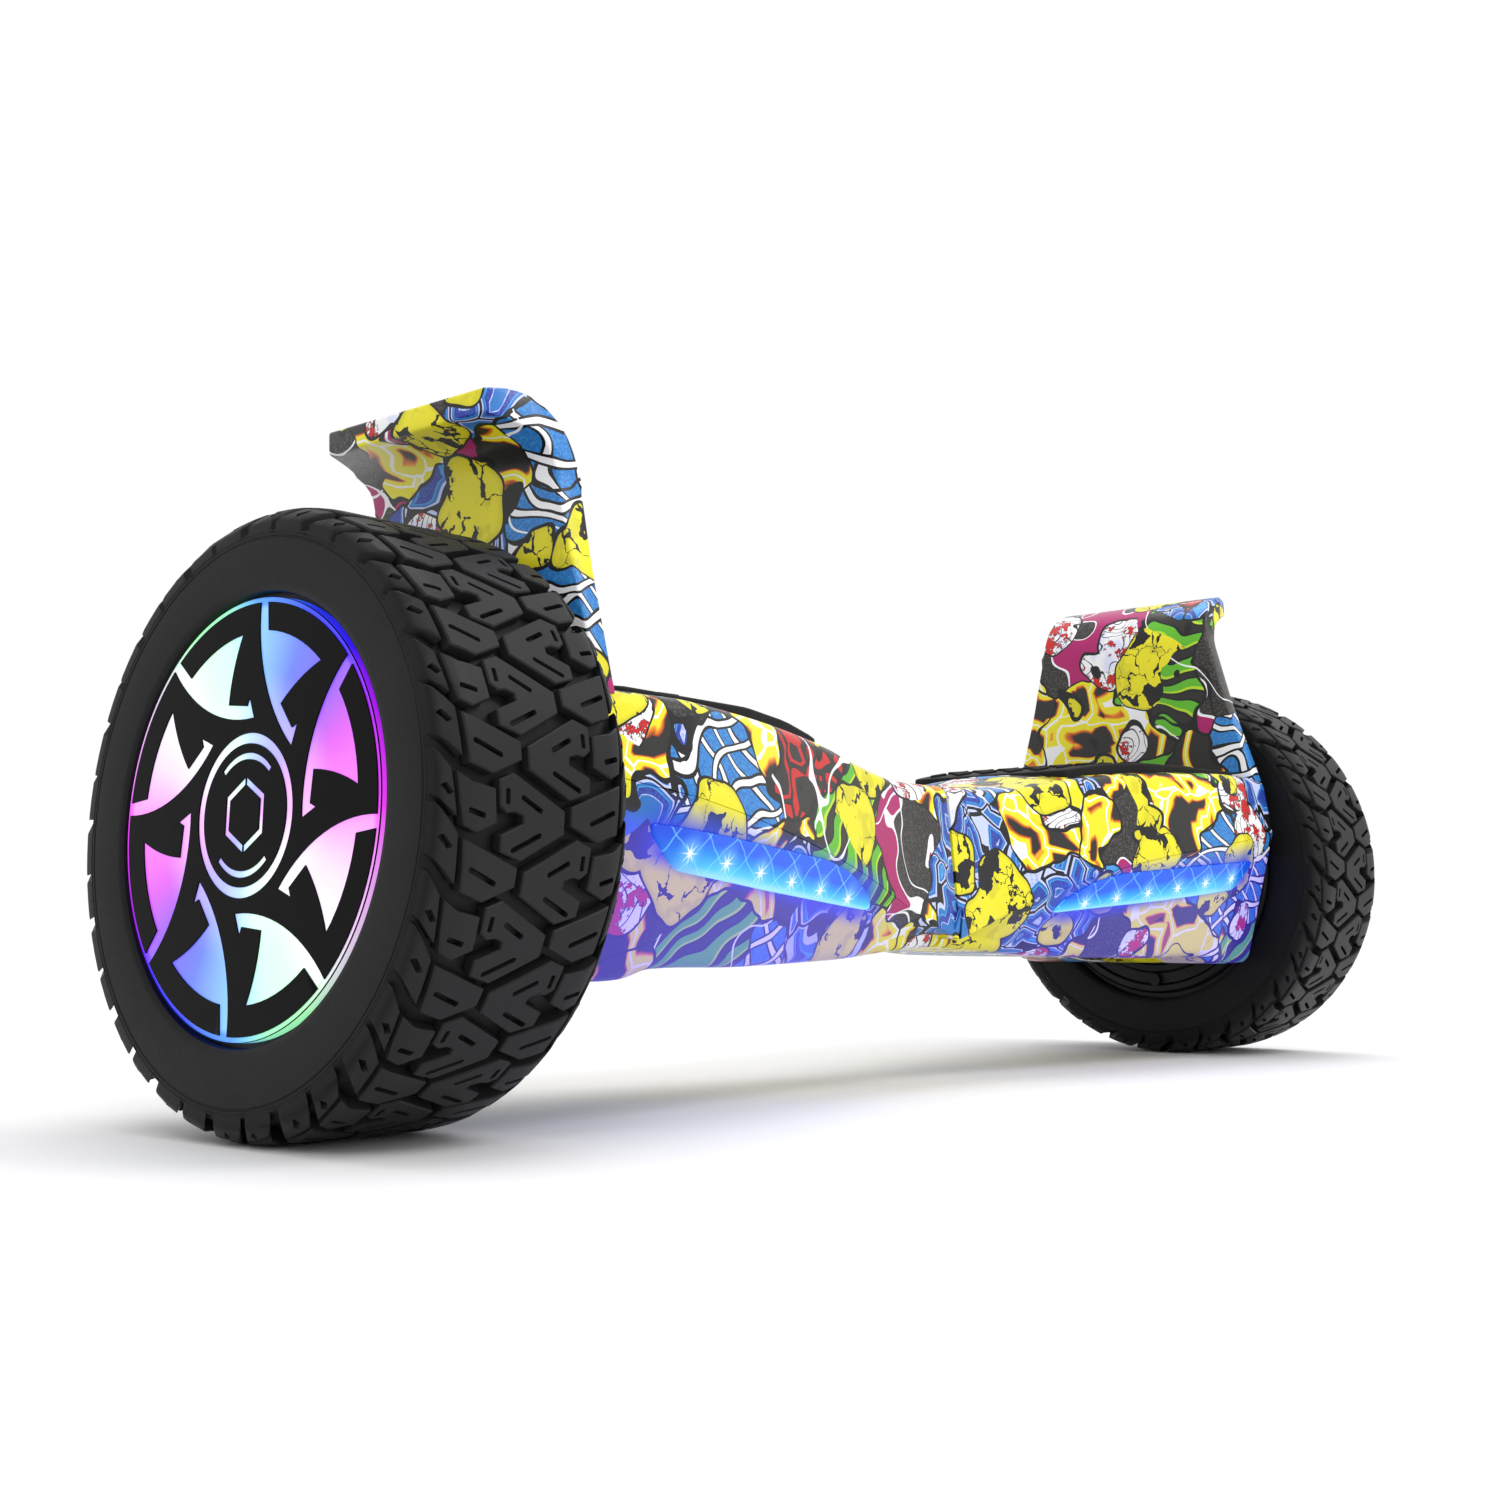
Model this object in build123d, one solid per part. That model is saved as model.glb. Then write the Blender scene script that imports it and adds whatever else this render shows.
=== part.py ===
"""Self balancing hoverboard: two twisting halves on two hub-motor wheels.

X runs along the board, the front faces -Y, Z is up and the ground is Z = 0.
Every sub-part of one half is drawn on the +X side; the -X half is its mirror image.
All sizes are in millimetres.
"""
from build123d import *
from numpy import interp
import math
import os

# ---- wheels
wheel_x = 311.0
tyre_radius = 108.0
tyre_half_width = 41.0
rim_radius = 76.0
tyre_seam_turn = 180 / 130
rim_half_width = 36.0
disc_radius = 75.0
disc_face = 40.5
mask_thickness = 0.6
cover_face = 40.0
cover_screw_count = 6
cover_screw_circle = 66.5
magnet_outer_radius = 54.0
magnet_inner_radius = 51.0
stator_radius = 50.0
stator_slots = 27
magnet_count = 30
axle_z = tyre_radius
axle_radius = 7.5
bearing_radius = 16.0
bearing_width = 9.0
bearing_clearance = 0.03
blade_count = 8

# ---- body shell: station along X, then half depths and heights of the section there
station = [1, 40, 75, 110, 160, 215, 231, 262]
crest_depth = [50, 52.5, 60, 67, 77.5, 87, 86, 83.5]
crest_height = [66, 78.5, 89.3, 98.5, 108.3, 116.6, 118.8, 123]
top_depth = [44, 46, 53, 60, 71, 81, 80.5, 79]
top_height = [135.5, 136, 140, 146, 150.5, 153, 153.3, 153.5]
crown_height = [138, 138.5, 144, 151.5, 156, 156.5, 156.5, 156.5]
base_depth = [38, 40, 44, 50, 58, 63, 63.3, 63.6]
base_height = [62, 60, 57.5, 56.5, 55.5, 55.5, 52, 52]
shell_wall = 3.0
split_gap = 0.6
end_x = 262.0
centre_gap = 1.0

# ---- twist joint
pivot_z = 100.0
tube_radius = 14.0
tube_bore = 11.0
tube_half_length = 72.0
bush_radius = 17.0
bush_clearance = 0.05
sleeve_radius = 22.0

# ---- frame, clamp and screws
frame_bottom = 68.0
frame_top = 73.0
frame_half_width = 34.0
clamp_x = (230.0, 256.0)
clamp_half_width = 20.0
clamp_top = 122.0
shell_screw_places = [(24, 29), (92, 39), (244, 54)]
frame_screw_places = [(80, 20), (215, 24)]
post_radius = 4.6

# ---- fenders: how far the side edges lean inwards for each mm of height
fender_lean = 0.327

# ---- foot mats
mat_x = (100.0, 248.0)
mat_bottom = 149.5
mat_top = 158.5
mat_travel = 1.5
mat_floor = 147.5
mat_floor_thickness = 3.0
mat_side_gap = 0.6
mat_pins_x = (135.0, 185.0)
pin_radius = 3.0

# ---- battery, in the +X half
battery_x = (92.0, 208.0)
battery_top = 115.0

# ---- rear switch and charging socket, on the -X half
switch_x = 160.0
switch_radius = 9.5
socket_x = 120.0
socket_radius = 9.0
plug_radius = 6.5
spot_radius = 12.4

wheel_axis = Axis((0, 0, axle_z), (1, 0, 0))


# ---------------------------------------------------------------- helpers
def at_station(values, x):
    """Value of a section dimension at distance x from the middle of the board."""
    return float(interp(x, station, values))


def block(x, y, z):
    """A box from three (low, high) pairs."""
    size = [high - low for low, high in (x, y, z)]
    middle = [(high + low) / 2 for low, high in (x, y, z)]
    return Pos(*middle) * Box(*size)


def rod(start, end, radius):
    """A round bar between two points."""
    along = Vector(*end) - Vector(*start)
    return extrude(Plane(origin=start, z_dir=along) * Circle(radius), along.length)


def turned(points):
    """A solid of revolution about the wheel axle from (distance from wheel centre, radius)."""
    outline = [(wheel_x + u, 0, axle_z + r) for u, r in points]
    return revolve(make_face(Polyline(*outline, close=True)), wheel_axis, 360)


def prism_in_front_view(points, y_low, y_high):
    """Extrude an outline of (x, z) points from y_low to y_high."""
    face = make_face(Polyline(*[(x, y_low, z) for x, z in points], close=True))
    return extrude(face, y_high - y_low, dir=(0, 1, 0))


def group(solids):
    return Compound(children=list(solids))


def inset_outline(points, distance):
    """Move each corner of a closed convex outline inwards so its sides shift by distance."""
    moved = []
    count = len(points)
    for i, (y, z) in enumerate(points):
        before = Vector(y - points[i - 1][0], z - points[i - 1][1]).normalized()
        after_point = points[(i + 1) % count]
        after = Vector(after_point[0] - y, after_point[1] - z).normalized()
        normal_sum = Vector(-before.Y - after.Y, before.X + after.X)
        scale = 2 * distance / normal_sum.length**2
        moved.append((y - normal_sum.X * scale, z - normal_sum.Y * scale))
    return moved


def section_points(x):
    """Outline of the body across the board at station x, clockwise from the front base."""
    crest, top, base = (at_station(v, x) for v in (crest_depth, top_depth, base_depth))
    crest_z, top_z = at_station(crest_height, x), at_station(top_height, x)
    crown_z, base_z = at_station(crown_height, x), at_station(base_height, x)
    right = [
        (0, crown_z),
        (top * 0.55, crown_z - 0.25 * (crown_z - top_z)),
        (top - 5, top_z + 0.8),
        (top + 0.8, top_z - 4),
        (crest, crest_z),
        (base + 1.6, base_z + 5),
        (base - 4, base_z),
    ]
    left = [(-y, z) for y, z in reversed(right[1:])]
    return left + right


def body_loft(inset, x_low, x_high):
    """Solid of the body outline, shrunk by inset, between two stations."""
    inner_stations = [x for x in station if x_low + 1 < x < x_high - 1]
    faces = []
    for x in [x_low] + inner_stations + [x_high]:
        outline = section_points(x)
        if inset:
            outline = inset_outline(outline, inset)
        faces.append(make_face(Polyline(*[(x, y, z) for y, z in outline], close=True)))
    return loft(faces, ruled=True)


def split_prism(above):
    """Everything above (or below) the crest line that parts the two shells."""
    line = [(x, at_station(crest_height, x)) for x in station]
    line = [(-5, line[0][1])] + line[:-1] + [(275, line[-1][1])]
    offset = split_gap / 2 if above else -split_gap / 2
    far = 200 if above else 20
    points = [(x, z + offset) for x, z in line] + [(275, far), (-5, far)]
    return prism_in_front_view(points, -120, 120)


# ---------------------------------------------------------------- wheel
def make_tyre():
    shoulder = tyre_half_width
    right = [
        (rim_half_width - 2, rim_radius),
        (rim_half_width - 2, rim_radius + 1.5),
        (shoulder, rim_radius + 1.5),
        (shoulder, tyre_radius - 7),
        (shoulder - 4, tyre_radius - 1.5),
        (shoulder - 11, tyre_radius),
    ]
    for groove in (20, 7):
        right += [(groove + 1.5, tyre_radius), (groove + 1.5, tyre_radius - 4)]
        right += [(groove - 1.5, tyre_radius - 4), (groove - 1.5, tyre_radius)]
    cavity = [(22, rim_radius), (26, rim_radius + 10), (20, rim_radius + 19)]
    left = [(-u, r) for u, r in reversed(right)]
    carcass = turned(right + left + [(-u, r) for u, r in cavity] + list(reversed(cavity)))
    # the seam sits just off the top, so that the tyre stands on a flat of its facets and not on a corner
    return carcass.rotate(wheel_axis, tyre_seam_turn)


def make_rim():
    edge, seat = rim_half_width, rim_radius
    outer = [(-edge, seat + 1.5), (-edge + 2, seat + 1.5), (-edge + 2, seat)]
    outer += [(edge - 2, seat), (edge - 2, seat + 1.5), (edge, seat + 1.5), (edge, 70)]
    wall = [(34, 70), (34, 0), (31, 0), (31, bearing_radius), (22, bearing_radius)]
    inner = [(22, 22), (29, 22), (29, 66), (17, 70), (17, magnet_outer_radius)]
    motor = [(-17, magnet_outer_radius), (-17, 66), (-29, 66), (-29, 62), (-edge, 62)]
    return turned(outer + wall + inner + motor) - cover_screw_set()


def make_motor_cover():
    face, edge = -cover_face, -rim_half_width
    outline = [(face, 9), (face, 70), (face + 1.5, 74), (edge, 74), (edge, 22)]
    outline += [(-22, 22), (-22, bearing_radius), (-31, bearing_radius), (-31, 9)]
    return turned(outline) - cover_screw_set()


def cover_screw_set():
    """Countersunk screws that hold the cover on the rim."""
    screws = []
    for i in range(cover_screw_count):
        angle = 2 * math.pi * (i + 0.5) / cover_screw_count
        y, z = cover_screw_circle * math.cos(angle), axle_z + cover_screw_circle * math.sin(angle)
        face = wheel_x - cover_face
        head = rod((face, y, z), (face + 2.4, y, z), 3.4)
        screws.append(head + rod((face + 2.4, y, z), (face + 10, y, z), 2))
    return screws


def make_bearings():
    solids = []
    for low in (-22 - bearing_width, 22):
        high = low + bearing_width
        bore = axle_radius + bearing_clearance
        solids.append(turned([(low, bore), (low, bearing_radius), (high, bearing_radius), (high, bore)]))
    return group(solids)


def make_magnets():
    inner, outer = magnet_inner_radius, magnet_outer_radius
    face = make_face(Polyline((-13, inner), (-13, outer), (13, outer), (13, inner), close=True))
    face = Plane(origin=(wheel_x, 0, axle_z), x_dir=(1, 0, 0), z_dir=(0, -1, 0)) * face
    pitch = 360 / magnet_count
    one = revolve(face, wheel_axis, pitch - 1.5)
    return group(one.rotate(wheel_axis, pitch * i) for i in range(magnet_count))


def make_stator():
    core = turned([(-13, 10), (-13, stator_radius), (13, stator_radius), (13, 10)])
    slot = block((wheel_x - 20, wheel_x + 20), (-1.5, 1.5), (axle_z + 32, axle_z + 46))
    mouth = block((wheel_x - 20, wheel_x + 20), (-0.7, 0.7), (axle_z + 45, axle_z + 55))
    cuts = [(slot + mouth).rotate(wheel_axis, 360 / stator_slots * i) for i in range(stator_slots)]
    return core - cuts


def make_axle():
    inner = 226 - wheel_x
    outline = [(inner, 0), (inner, axle_radius), (-22, axle_radius), (-22, 10), (22, 10)]
    outline += [(22, axle_radius), (30.5, axle_radius), (30.5, 0)]
    flat = block((220, clamp_x[1]), (-10, 10), (axle_z + 6, axle_z + 12))
    return turned(outline) - flat


def polar(radius, degrees_from_top):
    """Point on the hub face; angles run from the top towards the front (-Y)."""
    angle = math.radians(degrees_from_top)
    return (-radius * math.sin(angle), radius * math.cos(angle))


def blade_face():
    """One hooked blade: a stem off the outer ring, a wide field and a barbed tip."""
    stem_left, stem_right = polar(73.4, 2.1), polar(73.0, 5.4)
    field_start, field_mid, field_end = polar(63.2, 7.4), polar(63.2, 23), polar(63.0, 38.5)
    field_inner_mid, field_inner = polar(49.5, 30.8), polar(40.6, 25.7)
    barb_root, barb_tip, point = polar(37.3, 41.6), polar(40.3, 43.6), polar(33.1, 49.0)
    edge_mid = polar(43.5, 11.7)
    outline = Polyline(stem_left, stem_right, field_start)
    outline += ThreePointArc(field_start, field_mid, field_end)
    outline += ThreePointArc(field_end, field_inner_mid, field_inner)
    outline += Polyline(field_inner, barb_root, barb_tip, point)
    outline += ThreePointArc(point, edge_mid, stem_left)
    return make_face(outline)


def disc(back, front):
    """Round plate on the wheel axle, of the hub disc's radius."""
    return turned([(back, 0), (back, disc_radius), (front, disc_radius), (front, 0)])


def make_hub_light():
    return disc(rim_half_width, disc_face - mask_thickness)


def make_hub_mask():
    """Thin black cover plate, cut through where the light shows."""
    plate = disc(disc_face - mask_thickness, disc_face)
    face_plane = Plane(origin=(wheel_x + 30, 0, axle_z), x_dir=(0, 1, 0), z_dir=(1, 0, 0))
    blade = extrude(face_plane * blade_face(), 20)
    cuts = [blade.rotate(wheel_axis, 360 / blade_count * i) for i in range(blade_count)]
    cuts.append(Pos(wheel_x + 39.5, 0, axle_z) * extrude(Plane.YZ * RegularPolygon(14, 6), 10))
    return plate - cuts


# ---------------------------------------------------------------- body
def sleeve(radius, x_low, x_high):
    return rod((x_low, 0, pivot_z), (x_high, 0, pivot_z), radius)


def make_frame(bush_in_sleeve):
    """Cast chassis: floor plate, sleeve for the pivot tube and lower half of the axle clamp."""
    plate = block((30, clamp_x[1]), (-frame_half_width, frame_half_width), (frame_bottom, frame_top))
    nose = block((8, 30), (-24, 24), (frame_bottom, frame_top))
    web = block((8, 70), (-7, 7), (frame_top, pivot_z - 10))
    ribs = [block((30, 230), (y, y + 4), (frame_top, frame_top + 3)) for y in (-34, 30)]
    clamp_block = block(clamp_x, (-clamp_half_width, clamp_half_width), (frame_top, axle_z))
    solid = plate + nose + web + ribs + clamp_block + sleeve(sleeve_radius, 8, 70)
    bore = bush_radius if bush_in_sleeve else tube_radius
    solid -= sleeve(bore, 0, 80)
    solid -= make_axle()
    solid -= clamp_bolt_set()
    return solid - frame_screw_set()


def make_axle_clamp():
    cap = block(clamp_x, (-clamp_half_width, clamp_half_width), (axle_z, clamp_top))
    return cap - make_axle() - clamp_bolt_set()


def clamp_bolt_set():
    bolts = []
    for x in (clamp_x[0] + 6, clamp_x[1] - 6):
        for y in (-14, 14):
            shank = rod((x, y, axle_z - 18), (x, y, clamp_top), 3)
            bolts.append(shank + rod((x, y, clamp_top), (x, y, clamp_top + 6), 5))
    return bolts


def screw_base(x):
    """Height of the underside of the body where a screw goes in."""
    return at_station(base_height, x)


def screw(x, y, length):
    base = screw_base(x) + 1.0
    return rod((x, y, base), (x, y, base + 2.5), 3.6) + rod((x, y, base + 2.5), (x, y, base + length), 2)


def frame_screw_set():
    return [screw(x, side * y, 15.5) for x, y in frame_screw_places for side in (-1, 1)]


def shell_screw_set():
    return [screw(x, side * y, 15.5) for x, y in shell_screw_places for side in (-1, 1)]


def boss_face(x):
    """Top of the lower shell's screw boss."""
    return screw_base(x) + 6.5


def make_upper_shell(outer, inner, has_window):
    """Top casing with its sunk floor for the foot mat and posts for the screws."""
    skin = outer - inner
    pocket = mat_outline(mat_side_gap, mat_floor, mat_floor + 40)
    tray_outline = mat_outline(mat_side_gap + 3, mat_floor - mat_floor_thickness, mat_floor + 40)
    solid = (skin + (tray_outline & outer)) & split_prism(True)
    for x, y in shell_screw_places:
        for side in (-1, 1):
            post = rod((x, side * y, boss_face(x)), (x, side * y, 150), post_radius)
            solid += post & inner
    for x in (125, 195):
        for y in (-20, 20):
            solid += rod((x, y, 131), (x, y, mat_floor - 1), 3)
    solid -= pocket
    solid -= [rod((x, 0, 120), (x, 0, 160), pin_radius + 0.5) for x in mat_pins_x]
    solid -= shell_screw_set()
    solid -= sleeve(19, 0, 6)
    solid -= block((0, 6), (-19, 19), (50, pivot_z))
    solid -= fender_screw_set()
    if has_window:
        solid -= window_prism(0.0)
    return solid


def make_lower_shell(outer, inner, lens_hole, is_left):
    """Bottom casing with the lens window, screw bosses and the axle slot."""
    solid = outer - inner
    if is_left:
        for x in (switch_x, socket_x):
            solid += rear_frame(x).location * Pos(0, 0, -2.5) * Cylinder(spot_radius + 2, 5)
    solid = solid & split_prism(False)
    for x, y in shell_screw_places + frame_screw_places:
        top = frame_bottom if (x, y) in frame_screw_places else boss_face(x)
        for side in (-1, 1):
            solid += rod((x, side * y, screw_base(x) + 1), (x, side * y, top), 6)
    solid -= lens_hole
    solid -= block((end_x - 10, end_x + 5), (-12, 12), (axle_z, 140))
    solid -= rod((end_x - 10, 0, axle_z), (end_x + 5, 0, axle_z), 12)
    for x, y in shell_screw_places + frame_screw_places:
        for side in (-1, 1):
            solid -= rod((x, side * y, 40), (x, side * y, screw_base(x) + 1), 3.6)
    solid -= shell_screw_set()
    solid -= frame_screw_set()
    if is_left:
        for x, radius in ((switch_x, switch_radius), (socket_x, socket_radius)):
            solid -= rear_frame(x).location * Cylinder(radius, 30)
            solid -= rear_frame(x).location * Pos(0, 0, 5) * Cylinder(spot_radius, 10)
    return solid


def lens_outline(grow):
    """Front-view outline (x, z) of the lamp window, a long wedge that widens outwards."""
    return [
        (73.5 - grow, 78 - grow),
        (159, 85 - grow),
        (220.5, 91.1 - grow),
        (235.6 + grow, 103.1 - grow),
        (237.5 + grow, 107.2 + grow),
        (186, 103.3 + grow),
        (118, 97.6 + grow),
        (98, 92.9 + grow),
        (78.6 - grow, 84.1 + grow),
    ]


def make_lens(proud, inner):
    window = prism_in_front_view(lens_outline(0), -110, -20)
    return (proud - inner) & window


def make_led_strip():
    """Circuit strip with six lamps, straight behind the lens."""
    start, end = Vector(86, -49.6, 82), Vector(222, -71.7, 96.6)
    along = (end - start).normalized()
    out = Vector(along.Y, -along.X, 0).normalized()
    strip_plane = Plane(origin=start, x_dir=along, z_dir=out)
    length = (end - start).length
    strip = strip_plane * Pos(length / 2, 0, 0.8) * Box(length, 7, 1.6)
    lamps = [strip_plane * Pos(length * (i + 0.5) / 6, 0, 2.1) * Box(5, 5, 1) for i in range(6)]
    return strip + lamps


def make_fender(outer_body):
    """Guard that rises from the body end and curls over the wheel."""
    outer = Spline((253, 150), (250.5, 207), (250.2, 238), (260.9, 257), (281, 265.6), (292.5, 264))
    inner = Spline((262.0, 150), (262, 190), (262.3, 236), (267, 247), (277, 252), (291.5, 254.6))
    outline = [outer @ (i / 16) for i in range(17)] + [inner @ (1 - i / 16) for i in range(17)]
    points = [(p.X, p.Y) for p in outline]
    panel = prism_in_front_view(points, -90, 90)
    rise = 264.0 - 153.0
    trim = [(-80, 150), (-79, 153), (-79 + fender_lean * rise, 264), (-79 + fender_lean * (rise + 6), 270)]
    trim += [(-y, z) for y, z in reversed(trim)]
    side_view = make_face(Polyline(*[(240, y, z) for y, z in trim], close=True))
    panel = panel & extrude(side_view, 60, dir=(1, 0, 0))
    tab = block((end_x, end_x + 3), (-32, 32), (134, 168))
    return panel + tab - outer_body - fender_screw_set()


def fender_screw_set():
    screws = []
    for y in (-22, 22):
        head = rod((end_x + 3, y, 141), (end_x + 5, y, 141), 3.6)
        screws.append(head + rod((end_x - 2.9, y, 141), (end_x + 3, y, 141), 2))
    return screws


def mat_half_depth(x):
    return at_station(top_depth, x) - 9.0


def mat_outline(grow, z_low, z_high):
    """Plan shape of the foot mat, widening outwards, grown by a margin."""
    plan = []
    for x in (mat_x[0] - grow, 160, mat_x[1] + grow):
        plan.append((x, -mat_half_depth(x) - grow))
    plan += [(x, -y) for x, y in reversed(plan)]
    face = make_face(Polyline(*plan, close=True))
    solid = Pos(0, 0, z_low) * extrude(face, z_high - z_low)
    upright = [e for e in solid.edges().filter_by(Axis.Z) if abs(e.center().X - 160) > 20]
    return fillet(upright, 8 + grow)


def make_foot_mat():
    """Rubber tread plate on two pins that press the switches below."""
    mat = mat_outline(0, mat_bottom, mat_top)
    low_end = [(90, 151.6), (100, 151.6), (130, 156.4), (165, mat_top), (165, 170), (90, 170)]
    mat -= prism_in_front_view(low_end, -100, 100)
    for y in (-38, 38):
        mat -= block((118, 240), (y - 20, y + 20), (mat_bottom - 1, mat_bottom + 2.5))
    pins = [rod((x, 0, 139.5), (x, 0, mat_bottom + 1), pin_radius) for x in mat_pins_x]
    return mat + pins


def make_sensor_board():
    board = block((120, 200), (-26, 26), (129.4, 131))
    switches = [block((x - 5, x + 5), (-5, 5), (131, 137)) for x in mat_pins_x]
    plug = block((152, 168), (12, 20), (131, 137))
    return board + switches + plug


# ---------------------------------------------------------------- centre and electrics
def make_pivot_tube():
    outer = sleeve(tube_radius, -tube_half_length, tube_half_length)
    groove = sleeve(tube_radius + 1, 70.2, 71.4) - sleeve(tube_radius - 1, 70.2, 71.4)
    return outer - sleeve(tube_bore, -80, 80) - groove


def make_bushes():
    bore = tube_radius + bush_clearance
    rings = [(8, 26), (52, 70)]
    return group(sleeve(bush_radius, a, b) - sleeve(bore, a - 1, b + 1) for a, b in rings)


def make_retaining_ring():
    ring = sleeve(tube_radius + 3, 70.3, 71.3) - sleeve(tube_radius - 0.8, 70, 72)
    return ring - block((70, 72), (-4, 4), (pivot_z, pivot_z + 20))


def make_harness():
    return sleeve(4.5, -84, 70)


def make_battery():
    pack = block(battery_x, (-29.5, 29.5), (frame_top, battery_top))
    return fillet(pack.edges().filter_by(Axis.X), 5)


def make_battery_strap():
    foot = frame_top + 3
    strap = block((141, 159), (-32.6, 32.6), (foot, battery_top + 2.5))
    strap -= block((130, 170), (-29.6, 29.6), (foot - 1, battery_top))
    return strap + [block((141, 159), (y - 3, y + 3), (foot, foot + 2)) for y in (-34.5, 34.5)]


def make_control_board():
    """Motor controller: circuit board, heat sink, capacitors and plugs."""
    board = block((88, 208), (-32, 32), (83, 84.6))
    sink = block((150, 200), (-30, -12), (84.6, 97))
    sink -= [block((149, 201), (y, y + 2.2), (88, 98)) for y in (-27.5, -23, -18.5)]
    capacitors = [rod((x, 20, 84.6), (x, 20, 108), 8) for x in (112, 132)]
    plugs = [block((160 + 14 * i, 170 + 14 * i), (14, 22), (84.6, 92)) for i in range(3)]
    posts = [rod((x, y, frame_top), (x, y, 83), 3) for x in (94, 202) for y in (-24, 24)]
    return board + sink + capacitors + plugs + posts


def bent_cable(points, bend, radius):
    route = FilletPolyline(*points, radius=bend)
    return sweep(Plane(origin=route @ 0, z_dir=route % 0) * Circle(radius), route)


def make_motor_cable(over_battery):
    start = [(226, 0, axle_z), (218, 0, axle_z)]
    if over_battery:
        return bent_cable(start + [(212, 0, 121.5), (90, 0, 121.5), (80, 0, 106)], 5, 3)
    return bent_cable(start + [(206, 0, 100), (190, 0, 99)], 5, 3)


def window_prism(shrink):
    return block((44 + shrink, 66 - shrink), (-5 + shrink, 5 - shrink), (120, 160))


def rear_point(x, share):
    """Point on the rear lower facet, at a share of the way up from base to crest."""
    base = Vector(x, at_station(base_depth, x), at_station(base_height, x))
    crest = Vector(x, at_station(crest_depth, x), at_station(crest_height, x))
    return base + (crest - base) * share


def rear_frame(x):
    """Plane on the rear lower facet, normal outwards, at the given station."""
    along = (rear_point(x - 10, 0.46) - rear_point(x + 10, 0.46)).normalized()
    up = (rear_point(x, 1) - rear_point(x, 0)).normalized()
    normal = along.cross(up).normalized()
    return Plane(origin=rear_point(x, 0.46) + normal * 0.8, x_dir=along, z_dir=normal)


def make_power_switch():
    """Round switch housing let into the shell."""
    flange = Pos(0, 0, 0.75) * Cylinder(11.5, 1.5)
    body = Pos(0, 0, -7) * Cylinder(switch_radius, 14)
    well = Pos(0, 0, -4.5) * Cylinder(7.4, 12)
    return rear_frame(switch_x).location * (flange + body - well)


def make_power_button():
    return rear_frame(switch_x).location * Pos(0, 0, -2.75) * Cylinder(7, 11.5)


def make_charge_port():
    """Round charging socket with its contacts flush in the floor of the well."""
    flange = Pos(0, 0, 0.75) * Cylinder(12, 1.5)
    body = Pos(0, 0, -8) * Cylinder(socket_radius, 16)
    well = Pos(0, 0, -3.5) * Cylinder(plug_radius, 11)
    return rear_frame(socket_x).location * (flange + body - well)


def make_port_cap():
    lid = Pos(0, 0, 2.9) * Cylinder(11.2, 2)
    knuckle = Pos(0, 12.4, 2.9) * Rot(0, 90, 0) * Cylinder(1.3, 9)
    web = Pos(0, 11.2, 2.9) * Box(7, 2.4, 1.4)
    return rear_frame(socket_x).location * (lid + knuckle + web)


# ---------------------------------------------------------------- writing
def write_both(name, solid):
    """Write a sub-part of the +X half and its mirror image for the -X half."""
    save("right_" + name, solid)
    save("left_" + name, mirror(solid, about=Plane.YZ))


def save(name, solid):
    solids = solid if isinstance(solid, (list, tuple)) else solid.solids()
    shape = solids[0] if len(solids) == 1 else group(solids)
    export_step(shape, "parts/" + name + ".step")


def flat(solids):
    """All single solids of a list of shapes, as one group."""
    return group(s for shape in solids for s in shape.solids())


os.makedirs("parts", exist_ok=True)

outer = body_loft(0, centre_gap, end_x)
inner = body_loft(shell_wall, centre_gap + shell_wall, end_x - shell_wall)
proud = body_loft(-1.2, centre_gap, end_x)
lens_hole = prism_in_front_view(lens_outline(0.15), -110, -20)

write_both("tyre", make_tyre())
write_both("rim", make_rim())
write_both("motor_cover", make_motor_cover())
write_both("cover_screws", flat(cover_screw_set()))
write_both("wheel_bearings", make_bearings())
write_both("magnets", make_magnets())
write_both("stator", make_stator())
write_both("axle", make_axle())
write_both("hub_light", make_hub_light())
write_both("hub_mask", make_hub_mask())
write_both("axle_clamp", make_axle_clamp())
write_both("clamp_bolts", flat(clamp_bolt_set()))
write_both("shell_screws", flat(shell_screw_set() + frame_screw_set()))
write_both("light_lens", make_lens(proud, inner))
write_both("led_strip", make_led_strip())
write_both("fender", make_fender(outer))
write_both("fender_screws", flat(fender_screw_set()))
write_both("foot_mat", make_foot_mat())
write_both("sensor_board", make_sensor_board())

save("right_frame", make_frame(True))
save("left_frame", mirror(make_frame(False), about=Plane.YZ))
save("right_upper_shell", make_upper_shell(outer, inner, False))
save("left_upper_shell", mirror(make_upper_shell(outer, inner, True), about=Plane.YZ))
save("right_lower_shell", make_lower_shell(outer, inner, lens_hole, False))
save("left_lower_shell", mirror(make_lower_shell(outer, inner, lens_hole, True), about=Plane.YZ))
save("right_motor_cable", make_motor_cable(True))
save("left_motor_cable", mirror(make_motor_cable(False), about=Plane.YZ))

save("pivot_tube", make_pivot_tube())
save("pivot_bushes", make_bushes())
save("retaining_ring", make_retaining_ring())
save("harness", make_harness())
save("battery_pack", make_battery())
save("battery_strap", make_battery_strap())
save("control_board", mirror(make_control_board(), about=Plane.YZ))
save("status_window", mirror((outer - inner) & window_prism(0.1), about=Plane.YZ))
save("power_switch", mirror(make_power_switch(), about=Plane.YZ))
save("power_button", mirror(make_power_button(), about=Plane.YZ))
save("charge_port", mirror(make_charge_port(), about=Plane.YZ))
save("charge_port_cap", mirror(make_port_cap(), about=Plane.YZ))
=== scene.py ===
import math

import bpy
from mathutils import Matrix, Vector


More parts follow.
